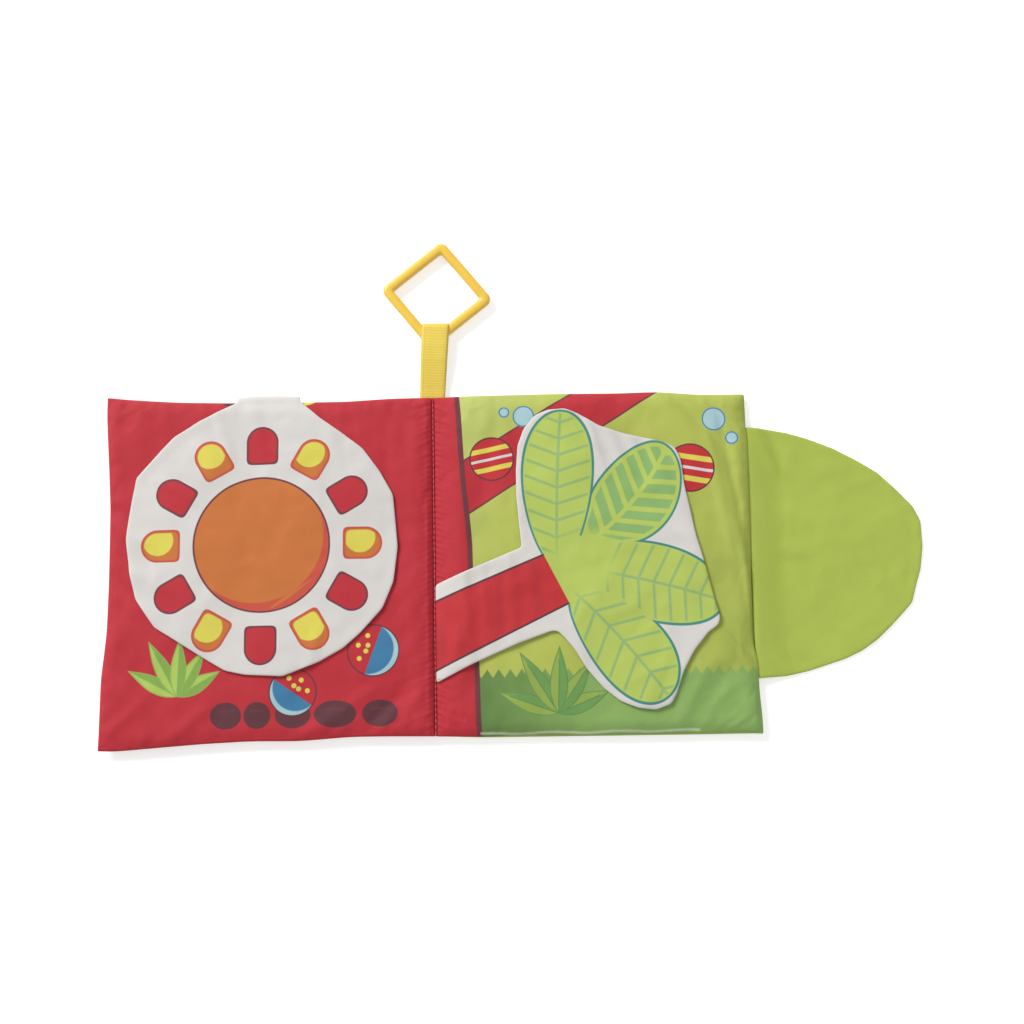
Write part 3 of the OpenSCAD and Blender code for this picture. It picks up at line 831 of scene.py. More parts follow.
@dataclass
class PaddedLeaf:
    """One padded cloth leaf: a crowned closed form from the seam to its fore edge."""

    name: str
    half: Half
    fore: EdgeLine
    head: EdgeLine
    tail: EdgeLine
    low: float
    high: float
    edge_low: float
    edge_high: float
    seam_low: float
    seam_high: float
    seed: float
    creases: tuple[Crease, ...] = ()
    inner: float = SEAM_HALF
    taper: float = 7.0
    swell: float = 11.0
    steep: float = 2.2
    fullness: float = 0.5
    broad: float = 1.2
    fine: float = 0.4
    most: float = 0.95
    pucker: float = 0.34
    columns: int = 80
    rows: int = 84

    def crown(self, distance: float) -> float:
        """Share of the full thickness at a distance from a sewn edge."""
        share = min(max(distance / self.taper, 0.0), 1.0)
        return (1 - (1 - share) ** 2) ** self.fullness

    def folds(self, x: float, y: float) -> float:
        """Height of the folds and creases in the leaf's upper cloth, which fade at its edges."""
        height = self.broad * soft_noise(x, y, 26, self.seed) + 0.4 * self.broad * creasing(x, y, 24, self.seed)
        height += self.fine * soft_noise(x * 1.3, y, 9, self.seed + 7)
        height += sum(crease.at(x, y) for crease in self.creases)
        edges = (abs(self.fore.at(y)) - abs(x), self.head.at(x) - y, y - self.tail.at(x))
        full = math.prod(self.crown(edge) for edge in edges) * min(max(abs(x) - self.inner, 0) / 14, 1.0)
        return self.most * math.tanh(height * full / self.most)

    def gathers(self, along: float, distance: float, side: float) -> float:
        """Height of the gathers along a sewn edge.

        Args:
            along: Place along the edge.
            distance: Distance from the edge.
            side: Number that tells the edges apart.

        Returns:
            The height.
        """
        wave = math.sin(2 * math.pi * along / 7.3 + 4.0 * soft_noise(along, side, 17, self.seed))
        strength = 0.6 + 0.8 * soft_noise(along, side + 5, 12, self.seed + 2)
        return 0.6 * self.pucker * wave * strength * (1 - math.exp(-distance / 1.5)) * math.exp(-distance / 5.0)

    def seam_pucker(self, reach: float, y: float) -> float:
        """Height of the gathers that run out from the seam."""
        slant = y + 0.35 * reach + 1.8 * soft_noise(reach, y, 9, self.seed + 3)
        wave = math.sin(2 * math.pi * slant / 5.2) + 0.5 * soft_noise(reach, y, 3, self.seed + 5)
        return self.pucker * wave * (1 - math.exp(-reach / 1.2)) * math.exp(-reach / 4.0)

    def shape(self, s: float, t: float, top: bool) -> Vector:
        """Place of a point of the leaf.

        Args:
            s: Share of the way from the seam to the fore edge.
            t: Share of the way from the tail to the head.
            top: Whether the point is on the upper cloth.

        Returns:
            The place, in millimetres.
        """
        s -= 0.08 * math.sin(2 * math.pi * s)
        t -= 0.08 * math.sin(2 * math.pi * t)
        side = self.half.value
        rough_y = -78 + 157 * t
        width = abs(self.fore.at(rough_y)) - self.inner
        reach = s * width
        x = side * (self.inner + reach)
        tail, head = self.tail.at(x), self.head.at(x)
        y = tail + (head - tail) * t
        full = self.crown((1 - s) * width) * self.crown((1 - t) * (head - tail)) * self.crown(t * (head - tail))
        flat_low = self.edge_low + (self.low - self.edge_low) * full
        flat_high = self.edge_high + (self.high - self.edge_high) * full
        rise = 1 - (1 - min(reach / self.swell, 1.0)) ** self.steep
        if top:
            z = self.seam_high + (flat_high - self.seam_high) * rise
            z += self.seam_pucker(reach, y)
            z += (self.gathers(y, (1 - s) * width, 1.0) + self.gathers(x, (1 - t) * (head - tail), 31.0)
                  + self.gathers(x, t * (head - tail), 67.0)) * min(reach / 8, 1.0)
        else:
            z = self.seam_low + (flat_low - self.seam_low) * rise
        return Vector((x, y, z))

    def build(self, materials: list[bpy.types.Material]) -> bpy.types.Object:
        """Makes the leaf's object.

        Args:
            materials: Upper cloth and lower cloth.

        Returns:
            The leaf.
        """
        bm = bmesh.new()
        bmesh.ops.create_grid(bm, x_segments=self.columns, y_segments=self.rows, size=0.5)
        lower, upper = double_layer(bm)
        below = len(lower)
        for vertices, top in ((lower, False), (upper, True)):
            for vertex in vertices:
                vertex.co = self.shape(vertex.co.x + 0.5, vertex.co.y + 0.5, top)
        piece = finish_mesh(f"{self.name}_leaf", bm, materials)
        puff(piece, self.held, pressure=1.5, growth=0.012, cap=0.6)
        if self.broad:
            for vertex in piece.data.vertices[below:]:
                vertex.co.z += self.folds(vertex.co.x / MM, vertex.co.y / MM) * MM
        subdivide_smooth(piece)
        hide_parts(self.name)
        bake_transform(piece)
        return piece

    def held(self, place: Vector) -> float:
        """How firmly the simulation holds a place: fully at the seam, edges and underside."""
        if place.z < (self.low + self.high) / 2 and abs(place.x) > self.inner + 8:
            return 1.0
        to_fore = abs(self.fore.at(place.y)) - abs(place.x)
        to_ends = min(self.head.at(place.x) - place.y, place.y - self.tail.at(place.x))
        to_seam = abs(place.x) - self.inner
        return float(1 - smoothstep((min(to_fore, to_ends, to_seam) - 0.3) / 2.5))


class Drape:
    """Height of cloth that lies on other pieces: a smooth surface just above them."""

    def __init__(self, rests: list[bpy.types.Object], low: Point, high: Point, gap: float,
                 passes: int = 10) -> None:
        """Measures the pieces and lays a smooth surface over them.

        Args:
            rests: Pieces that the cloth lies on.
            low: Lowest X and Y of the area.
            high: Highest X and Y of the area.
            gap: Least height of the cloth over the pieces.
            passes: How often the surface is smoothed.
        """
        self.low, self.step = low, 1.0
        graph = bpy.context.evaluated_depsgraph_get()
        graph.update()
        trees = [BVHTree.FromObject(piece, graph) for piece in rests]
        columns = int((high[0] - low[0]) / self.step) + 2
        rows = int((high[1] - low[1]) / self.step) + 2
        ground = np.zeros((columns, rows))
        down = Vector((0, 0, -1))
        for i in range(columns):
            for j in range(rows):
                start = Vector((low[0] + i * self.step, low[1] + j * self.step, 50)) * MM
                hits = [tree.ray_cast(start, down)[0] for tree in trees]
                ground[i, j] = max([hit.z / MM for hit in hits if hit is not None], default=0.0)
        floor = ground + gap
        surface = floor.copy()
        for _ in range(passes):
            for axis in (0, 1):
                padded = np.pad(surface, [(2, 2) if k == axis else (0, 0) for k in (0, 1)], mode="edge")
                take = [padded.take(range(k, k + surface.shape[axis]), axis=axis) for k in range(5)]
                surface = (take[0] + 2 * take[1] + 3 * take[2] + 2 * take[3] + take[4]) / 9
            surface = np.maximum(surface, floor)
        self.surface = surface

    def at(self, x: float, y: float) -> float:
        """The surface's height at a place."""
        i = min(max((x - self.low[0]) / self.step, 0), self.surface.shape[0] - 1.001)
        j = min(max((y - self.low[1]) / self.step, 0), self.surface.shape[1] - 1.001)
        a, b = int(i), int(j)
        u, v = i - a, j - b
        s = self.surface
        return float((s[a, b] * (1 - u) + s[a + 1, b] * u) * (1 - v)
                     + (s[a, b + 1] * (1 - u) + s[a + 1, b + 1] * u) * v)


@dataclass
class ClothFlap:
    """A flap of two cloth layers, sewn round its edge and turned."""

    name: str
    outline: tuple[Point, ...]
    thickness: float = 0.95
    spacing: float = 1.5
    rounding: float = 0.8
    rim_rings: tuple[float, ...] = (0.3, 0.4, 0.6)
    seed: float = 0.0
    flutter: float = 0.8
    most: float = 0.85
    rim_reach: float = 1.2
    rim_share: float = 0.3
    pressed: float = 0.22
    creases: tuple[Crease, ...] = ()

    def ripple(self, x: float, y: float) -> float:
        """Height of the flap's own folds over what it lies on, between 0 and the most."""
        height = 0.22 + self.flutter * soft_noise(x, y, 24, self.seed)
        height += 0.5 * self.flutter * soft_noise(x, y * 1.2, 9, self.seed + 4)
        height += 0.6 * self.flutter * creasing(x, y, 18, self.seed)
        height += sum(crease.at(x, y) for crease in self.creases)
        height = height if height > 0.1 else 0.1 * math.exp(height / 0.1 - 1)
        return self.most * math.tanh(height / self.most)

    def smooth_outline(self) -> np.ndarray:
        """The outline with its corners rounded, as evenly spaced points."""
        points = np.array(self.outline, float)
        closed = np.vstack([points, points[:1]])
        lengths = np.linalg.norm(np.diff(closed, axis=0), axis=1)
        along = np.concatenate([[0], np.cumsum(lengths)])
        fine = np.arange(0, along[-1], 0.25)
        dense = np.stack([np.interp(fine, along, closed[:, k]) for k in (0, 1)], 1)
        reach = np.arange(-3 * self.rounding, 3 * self.rounding + 0.1, 0.25)
        kernel = np.exp(-0.5 * (reach / self.rounding) ** 2)
        kernel /= kernel.sum()
        half = len(reach) // 2
        wrapped = np.vstack([dense[-half:], dense, dense[:half]])
        soft = np.stack([np.convolve(wrapped[:, k], kernel, mode="valid") for k in (0, 1)], 1)
        count = max(int(along[-1] / self.spacing), 24)
        pick = np.linspace(0, len(soft), count, endpoint=False).astype(int)
        return soft[pick]

    def flat_mesh(self, edge: np.ndarray) -> bmesh.types.BMesh:
        """Flat closed mesh of the flap: rings along its rim, and a grid inside them.

        Args:
            edge: Points of the outline.

        Returns:
            The mesh, with both layers at height 0.
        """
        bm = bmesh.new()
        bmesh.ops.create_circle(bm, cap_ends=True, radius=1.0, segments=len(edge))
        area = edge[:, 0] @ np.roll(edge[:, 1], -1) - edge[:, 1] @ np.roll(edge[:, 0], -1)
        ordered = edge if area > 0 else edge[::-1]
        for vertex, (x, y) in zip(sorted(bm.verts, key=lambda v: v.index), ordered):
            vertex.co = (x, y, 0)
        bm.faces.ensure_lookup_table()
        inner = bm.faces[0]
        bmesh.ops.recalc_face_normals(bm, faces=bm.faces)
        for ring in self.rim_rings:
            bmesh.ops.inset_region(bm, faces=[inner], thickness=ring, use_even_offset=True, use_boundary=True)
        for face in bm.faces:
            face.material_index = 0
        inner.material_index = 1
        for axis in (0, 1):
            low, high = edge[:, axis].min(), edge[:, axis].max()
            for place in np.arange(low + self.spacing / 2 + 0.013, high, self.spacing):
                faces = [f for f in bm.faces if f.material_index == 1]
                edges = dict.fromkeys(e for f in faces for e in f.edges)
                verts = dict.fromkeys(v for f in faces for v in f.verts)
                co, no = [0, 0, 0], [0, 0, 0]
                co[axis], no[axis] = place, 1
                bmesh.ops.bisect_plane(bm, geom=[*verts, *edges, *faces], dist=0.02, plane_co=co, plane_no=no)
        for face in bm.faces:
            face.material_index = 0
        return bm

    def build(self, materials: list[bpy.types.Material], place: Callable[[float, float], Vector],
              normal: Callable[[float, float], Vector] | None = None) -> bpy.types.Object:
        """Makes the flap's object.

        Args:
            materials: Front cloth and back cloth.
            place: Where the flap's middle layer is, for a place on the flat cloth.
            normal: Direction out of the flap's front, or None for straight up.

        Returns:
            The flap.
        """
        edge = self.smooth_outline()
        bm = self.flat_mesh(edge)
        lower, upper = double_layer(bm)
        flat = {v: (v.co.x, v.co.y) for v in (*lower, *upper)}
        for vertices, side in ((lower, -1), (upper, 1)):
            for vertex in vertices:
                x, y = flat[vertex]
                away = float(np.sqrt(((edge - (x, y)) ** 2).sum(1)).min())
                share = min(away / self.rim_reach, 1.0)
                crown = math.sqrt(1 - (1 - share) ** 2)
                half = self.thickness / 2 * (self.rim_share + (1 - self.rim_share) * crown)
                half *= 1 - self.pressed * float(smoothstep((away - 2.0) / 2.5))
                out = normal(x, y) if normal else Vector((0, 0, 1))
                vertex.co = place(x, y) + out * (side * half)
        return finish_mesh(f"{self.name}_cloth", bm, materials, flat=lambda v: flat[v])


@dataclass
class Book:
    """Padded halves of the book, and the strip and thread that join them."""

    cloth: ClothFinish = ClothFinish()
    page_cloth: ClothFinish = ClothFinish(seam_depth=0.16)
    stitch_pitch: float = 2.6
    stitch_length: float = 1.9
    stitch_width: float = 0.55
    stitch_high: float = 0.55
    first_stitch: float = -75.4
    seam_length: float = 154.0
    thread_rows: tuple[Point, ...] = ((4.94, 2.0), (0.3, 8.0))
    seam_middle: float = 1.28
    tape: tuple[float, float, float, float] = (5.2, 153.0, 0.5, 0.4)
    core: tuple[float, float, float, float] = (0.68, 156.1, 2.76, 4.04)

    def leaves(self) -> dict[str, PaddedLeaf]:
        """The four leaves, by name."""
        left_fore = EdgeLine(((-80.6, -151.6), (-74, -151.2), (-47, -150.9), (-37, -149.9), (-27, -148.9),
                              (-4.6, -148.6), (28, -148.9), (53, -150.5), (70, -151.8), (82.3, -151.8)), soft=2.5)
        left_head = EdgeLine(((-151.8, 82.3), (-144, 81.2), (-132, 80.2), (-118, 79.2), (-92, 78.4), (-41, 78.1),
                              (-20, 79.2), (0, 79.3)))
        left_tail = EdgeLine(((-151.7, -80.6), (-144, -81), (-105.7, -78.4), (-83, -77.5), (-61, -77.9),
                              (-38, -76.4), (-21, -76.5), (0, -76.9)))
        right_fore = EdgeLine(((-78.3, 146.5), (-72, 146.6), (-61, 145.8), (-53, 145.6), (-43.2, 145.8),
                               (-38.2, 143.5), (-11.8, 144.3), (20.5, 145.2), (61.5, 145.6), (68.7, 144.2),
                               (78, 144.8)))
        right_head = EdgeLine(((0, 79.3), (22, 79.8), (59, 80), (87, 79.7), (104, 80.1), (124.6, 78.2),
                               (144, 78.1)))
        right_tail = EdgeLine(((0, -76.9), (19.6, -77.5), (42, -77), (82, -77.8), (118, -77.6),
                               (133, -77.6), (146, -78.5)))
        page = {"low": 3.55, "high": 6.45, "edge_low": 4.05, "edge_high": 5.0, "seam_low": 1.6,
                "seam_high": 4.8, "steep": 1.7}
        cover = {"low": 0.05, "high": 3.45, "edge_low": 1.6, "edge_high": 2.7, "seam_low": 1.0,
                 "seam_high": 1.5, "broad": 0.0, "pucker": 0.0, "columns": 60, "rows": 60}
        straight = EdgeLine(((-80, 78.6), (80, 78.6)))
        cover_tail = EdgeLine(((0, -76.8), (20, -77.7), (118, -78.2), (146, -78.2)))
        front_tail = EdgeLine(((-146, -78.0), (-105, -76.4), (0, -75.0)))
        return {
            "left_page": PaddedLeaf("left_page", Half.LEFT, left_fore, left_head, left_tail, seed=1.7, swell=3.2,
                                    creases=(
                Crease((-162, 36), (-124, 18), 2.2, -1.0), Crease((-160, 28), (-126, 10), 2.4, 0.7),
                Crease((-162, 2), (-128, -13), 2.2, -1.0), Crease((-160, -7), (-126, -21), 2.6, 0.7),
                Crease((-158, -30), (-138, -52), 2.4, -0.8), Crease((-128, -84), (-98, -58), 2.8, 0.8),
                Crease((-150, -76), (-128, -56), 2.6, 0.6), Crease((-70, -84), (-20, -50), 3.2, 0.8),
                Crease((-44, -83), (-10, -52), 2.6, -0.8), Crease((-6.6, 88), (-6.2, -84), 4.2, 1.7),
                Crease((-24, 74), (-17, -30), 3.0, -0.5), Crease((-148, 84), (-112, 54), 3.6, -0.5),
                Crease((-60, 84), (-40, 66), 2.8, 0.6)), **page),
            "right_page": PaddedLeaf("right_page", Half.RIGHT, right_fore, right_head, right_tail, seed=5.1, most=1.35,
                                     creases=(
                Crease((94, 92), (132, 42), 2.6, 1.3), Crease((100, 92), (140, 46), 2.2, -1.0),
                Crease((125, 68), (138, -6), 2.2, 1.7), Crease((131, 76), (143, 8), 2.0, -1.2),
                Crease((134, 28), (148, -28), 2.0, 1.3), Crease((141, 16), (145, -42), 1.7, 1.5),
                Crease((123, -18), (149, -51), 1.7, -1.7), Crease((122, -28), (142, -58), 2.6, 0.6),
                Crease((128, -40), (102, -84), 2.4, 0.6), Crease((135, -42), (112, -84), 2.6, -0.4),
                Crease((40, -84), (18, -44), 3.4, -0.7), Crease((34, 88), (20, 18), 3.6, -0.5),
                Crease((80, 86), (70, 66), 2.8, 0.5), Crease((12, 70), (13, -70), 3.4, 0.5)),
                                     fullness=0.8, **(page | {"edge_high": 4.4})),
            "front_cover": PaddedLeaf("front_cover", Half.LEFT, EdgeLine(((-80, -148.5), (80, -148.5))),
                                      EdgeLine(((-150, 78.6), (0, 78.6))), front_tail, seed=9.3, **cover),
            "back_cover": PaddedLeaf("back_cover", Half.RIGHT, EdgeLine(((-80, 145.5), (80, 145.5))),
                                     EdgeLine(((0, 78.6), (150, 78.6))), cover_tail, seed=3.9, **cover),
        }

    def build(self) -> dict[str, bpy.types.Object]:
        """Makes the leaves, the spine's strip and its stitches.

        Returns:
            The pieces, by name.
        """
        plain_green = self.cloth.material("green_cloth", INKS.green)
        plain_red = self.cloth.material("red_cloth", INKS.red)
        fronts = {
            "left_page": [self.page_cloth.material("left_page_print", INKS.red, left_page_print), plain_red],
            "right_page": [self.page_cloth.material("right_page_print", INKS.green, right_page_print), plain_green],
            "front_cover": [plain_green, plain_green],
            "back_cover": [plain_green, plain_green],
        }
        pieces = {name: leaf.build(fronts[name]) for name, leaf in self.leaves().items()}
        pieces["spine_strip"] = self.strip(plain_red)
        pieces["spine_stitches"] = self.stitches()
        return pieces

    def strip(self, material: bpy.types.Material) -> bpy.types.Object:
        """Makes the tape under the seam, and the cloth that the stitches press between the leaves."""
        bm = bmesh.new()
        for width, length, middle, depth in (self.tape, self.core):
            made = bmesh.ops.create_cube(bm, size=1.0)["verts"]
            bmesh.ops.scale(bm, vec=(width, length, depth), verts=made)
            bmesh.ops.translate(bm, vec=(0, self.seam_middle, middle), verts=made)
        bmesh.ops.subdivide_edges(bm, edges=[e for e in bm.edges if e.calc_length() > 20], cuts=90)
        bmesh.ops.bevel(bm, geom=[e for e in bm.edges if e.is_manifold and e.calc_face_angle() > 1], offset=0.15,
                        offset_type="OFFSET", segments=2, profile=0.5, affect="EDGES", material=-1)
        for vertex in bm.verts:
            vertex.co.z += 0.08 * soft_noise(vertex.co.x, vertex.co.y, 4, 40.0)
        piece = finish_mesh("spine_core", bm, [material])
        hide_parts("spine_strip")
        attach(piece, "spine")
        return piece

    def stitches(self) -> bpy.types.Object:
        """Makes the row of stitches along the spine, and the row under it."""
        thread = ClothFinish(roughness=0.5, sheen=0.3, weave_pitch=0.3, weave_depth=0.04, crease_depth=0.0,
                             fold_depth=0.0)
        bm = bmesh.new()
        count = int(self.seam_length / self.stitch_pitch)
        for height, seed in self.thread_rows:
            for i in range(count):
                wander = soft_noise(i * 1.7, 3.0, 1.0, seed)
                made = bmesh.ops.create_uvsphere(bm, u_segments=8, v_segments=6, radius=0.5)["verts"]
                turn = Matrix.Rotation(math.radians(90), 4, "X")
                bmesh.ops.transform(bm, matrix=turn, verts=made)
                bmesh.ops.scale(bm, vec=(self.stitch_width, self.stitch_length, self.stitch_high), verts=made)
                bmesh.ops.rotate(bm, cent=(0, 0, 0), matrix=Matrix.Rotation(math.radians(4 + 9 * wander), 3, "Z"),
                                 verts=made)
                y = self.first_stitch + (i + 0.06 * wander) * self.stitch_pitch
                bmesh.ops.translate(bm, vec=(0.18 * wander, y, height), verts=made)
        piece = finish_mesh("seam_thread", bm, [thread.material("red_thread", ink("d4616e"))])
        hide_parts("spine_stitches")
        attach(piece, "spine")
        return piece


@dataclass
class Flaps:
    """The sun flap, the tree flap and the bush flap."""

    cloth: ClothFinish = ClothFinish(roughness=0.6, crease_depth=0.12, fold_depth=0.35)
    arch_x: float = -76.5
    arch_half: float = 15.0
    arch_rise: float = 0.9
    arch_low: float = 0.2
    hem_x: float = 146.0
    hem_reach: float = 16.0
    hem_rise: float = 2.75
    floor_gap: float = 0.06
    fold_y: float = 78.0
    fold_r: float = 1.9

    def sun(self, page: bpy.types.Object) -> bpy.types.Object:
        """Makes the sun flap, which is folded over the left page's top edge.

        Args:
            page: The left page.

        Returns:
            The flap.
        """
        points = ((26, 59), (37, 51), (46, 44), (54, 33), (60, 22), (62, -2), (60, -18), (55, -30), (45, -41),
                  (37, -48), (26, -54), (10, -60), (-7, -59), (-16, -57), (-26, -51), (-40, -42), (-48, -37),
                  (-57, -24), (-60, -12), (-62, 3), (-61, 14), (-58, 32), (-51, 40), (-41, 51), (-30, 58),
                  (-12, 67), (-11.5, 73.2), (2.5, 74.2), (16.5, 73.2), (17, 67))
        flap = ClothFlap("sun_flap", tuple((x - 78.5, y + 11.0) for x, y in points), seed=12.0, flutter=0.6, creases=(
            Crease((-104, 88), (-92, 44), 2.6, 0.6), Crease((-62, 88), (-40, 48), 2.6, 0.6),
            Crease((-146, 2), (-112, -12), 2.6, 0.5), Crease((-60, -56), (-50, -22), 2.6, 0.5),
            Crease((-132, 44), (-106, 30), 2.4, 0.5), Crease((-84, 82), (-78, 48), 3, 0.4)))
        drape = Drape([page], (-146, -54), (-10, 80), 0.2)
        half = flap.thickness / 2

        def height(x: float, y: float) -> float:
            """Height of the flap's middle layer before its fold."""
            return drape.at(x, y) + flap.ripple(x, y) + half

        def fold(x: float, y: float) -> tuple[float, float, float]:
            """Place along Y and Z, and turn, of a point of the flap."""
            arch = 1 - ((x - self.arch_x) / self.arch_half) ** 2
            crest = self.fold_y + max(self.arch_low + self.arch_rise * arch, 0.0)
            past = y - crest
            top = height(x, min(y, self.fold_y - 1.0))
            angle = max(past, 0.0) / self.fold_r
            if angle <= 0:
                return y, top, 0.0
            return (crest + self.fold_r * math.sin(angle),
                    top - self.fold_r * (1 - math.cos(angle)), angle)

        def place(x: float, y: float) -> Vector:
            """Place of the flap's middle layer."""
            at_y, at_z, _ = fold(x, y)
            return Vector((x, at_y, at_z))

        def normal(x: float, y: float) -> Vector:
            """Direction out of the flap's front."""
            angle = fold(x, y)[2]
            return Vector((0, math.sin(angle), math.cos(angle)))

        white = self.cloth.material("sun_flap_print", INKS.white, sun_print, mottle=0.02)
        back = self.cloth.material("white_cloth", INKS.white, mottle=0.02)
        piece = flap.build([white, back], place, normal)
        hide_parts("sun_flap")
        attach(piece, "left_half")
        return piece

    def tree(self, page: bpy.types.Object) -> bpy.types.Object:
        """Makes the tree flap, which is sewn into the spine seam.

        Args:
            page: The right page.

        Returns:
            The flap.
        """
        points = ((0.5, -8.8), (18, -1.5), (40, 7.5), (39, 18), (38, 31), (38, 43), (39, 55), (42, 63), (47, 69),
                  (53, 71.5), (61, 72), (67, 69.5), (77, 63.5), (89, 59.5), (100, 57), (107, 55), (111.5, 52.5),
                  (114, 46.5), (115, 36), (117, 26), (119.5, 11.5), (122, 2.5), (125, -10), (129, -26),
                  (128, -29.5), (123, -33), (116.5, -41), (111.5, -50), (108, -60), (105.5, -64.5), (98.5, -67),
                  (90.5, -66), (83, -63), (75.5, -57), (68, -48), (63, -39.5), (58.5, -34), (55.5, -31),
                  (52.5, -31), (37, -36.5), (17, -45), (0.5, -53.2))
        flap = ClothFlap("tree_flap", points, seed=21.0, creases=(
            Crease((13, 4), (17, -58), 2.0, 0.7), Crease((21, 8), (26, -52), 2.2, 0.6),
            Crease((33, 14), (37, -44), 2.0, 0.6), Crease((70, 70), (80, 38), 1.7, 1.0),
            Crease((78, 68), (92, 36), 1.7, 0.9), Crease((88, 64), (96, 44), 1.7, 0.8),
            Crease((96, 62), (126, -10), 2.6, 0.6), Crease((98, 20), (122, 8), 2.0, 0.6),
            Crease((60, -30), (84, -2), 2.6, 0.5), Crease((92, -70), (108, -34), 2.6, 0.5),
            Crease((112, -20), (126, -40), 2.2, 0.5)))
        drape = Drape([page], (0, -72), (134, 77), 0.2)
        half = flap.thickness / 2

        def place(x: float, y: float) -> Vector:
            """Place of the flap's middle layer."""
            lift = flap.ripple(x, y) * float(smoothstep(x / 10))
            sewn = float(smoothstep((x - 0.4) / 1.6))
            return Vector((x, y, drape.at(max(x, 1.6), y) + lift + half * sewn))

        white = self.cloth.material("tree_flap_print", INKS.white, tree_print, mottle=0.02)
        back = self.cloth.material("white_cloth_back", INKS.white, mottle=0.02)
        piece = flap.build([white, back], place)
        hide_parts("tree_flap")
        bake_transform(piece)
        return piece

    def bush(self) -> bpy.types.Object:
        """Makes the bush flap, which comes out from under the right page's fore edge.

        Returns:
            The flap.
        """
        points = ((5, 62), (17, 60), (27, 57), (39, 52), (49, 46.5), (59, 40), (67, 32), (74, 24), (77, 17.5),
                  (77.3, 6), (75.7, -5), (73, -13), (70.7, -20.5), (65, -26.5), (60, -31.5), (54, -37),
                  (46.6, -42), (38.6, -45.6), (22, -50.7), (12, -52.8), (-2.3, -53.8), (-2.3, 62.5))
        flap = ClothFlap("bush_flap", tuple((x + 147.0, y) for x, y in points), thickness=1.1, seed=33.0,
                         flutter=0.4, most=1.2, creases=(
            Crease((144, 68), (160, 38), 2.0, 1.2), Crease((150, 72), (163, 42), 1.8, -0.9),
            Crease((150, 70), (170, 46), 3, 0.5),
            Crease((144, -28), (164, -56), 2.4, 0.8), Crease((158, 28), (196, 3), 3.4, 0.6),
            Crease((145, 8), (172, 2), 3, 0.5)))
        half = flap.thickness / 2

        def place(x: float, y: float) -> Vector:
            """Place of the flap's middle layer."""
            fall = 1 - float(smoothstep((x - self.hem_x) / self.hem_reach))
            lift = flap.ripple(x, y) * (1 - fall)
            return Vector((x, y, self.floor_gap + half + self.hem_rise * fall + lift))

        green = self.cloth.material("bush_cloth", ink("b0c152"))
        piece = flap.build([green, green], place)
        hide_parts("bush_flap")
        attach(piece, "right_half")
        return piece


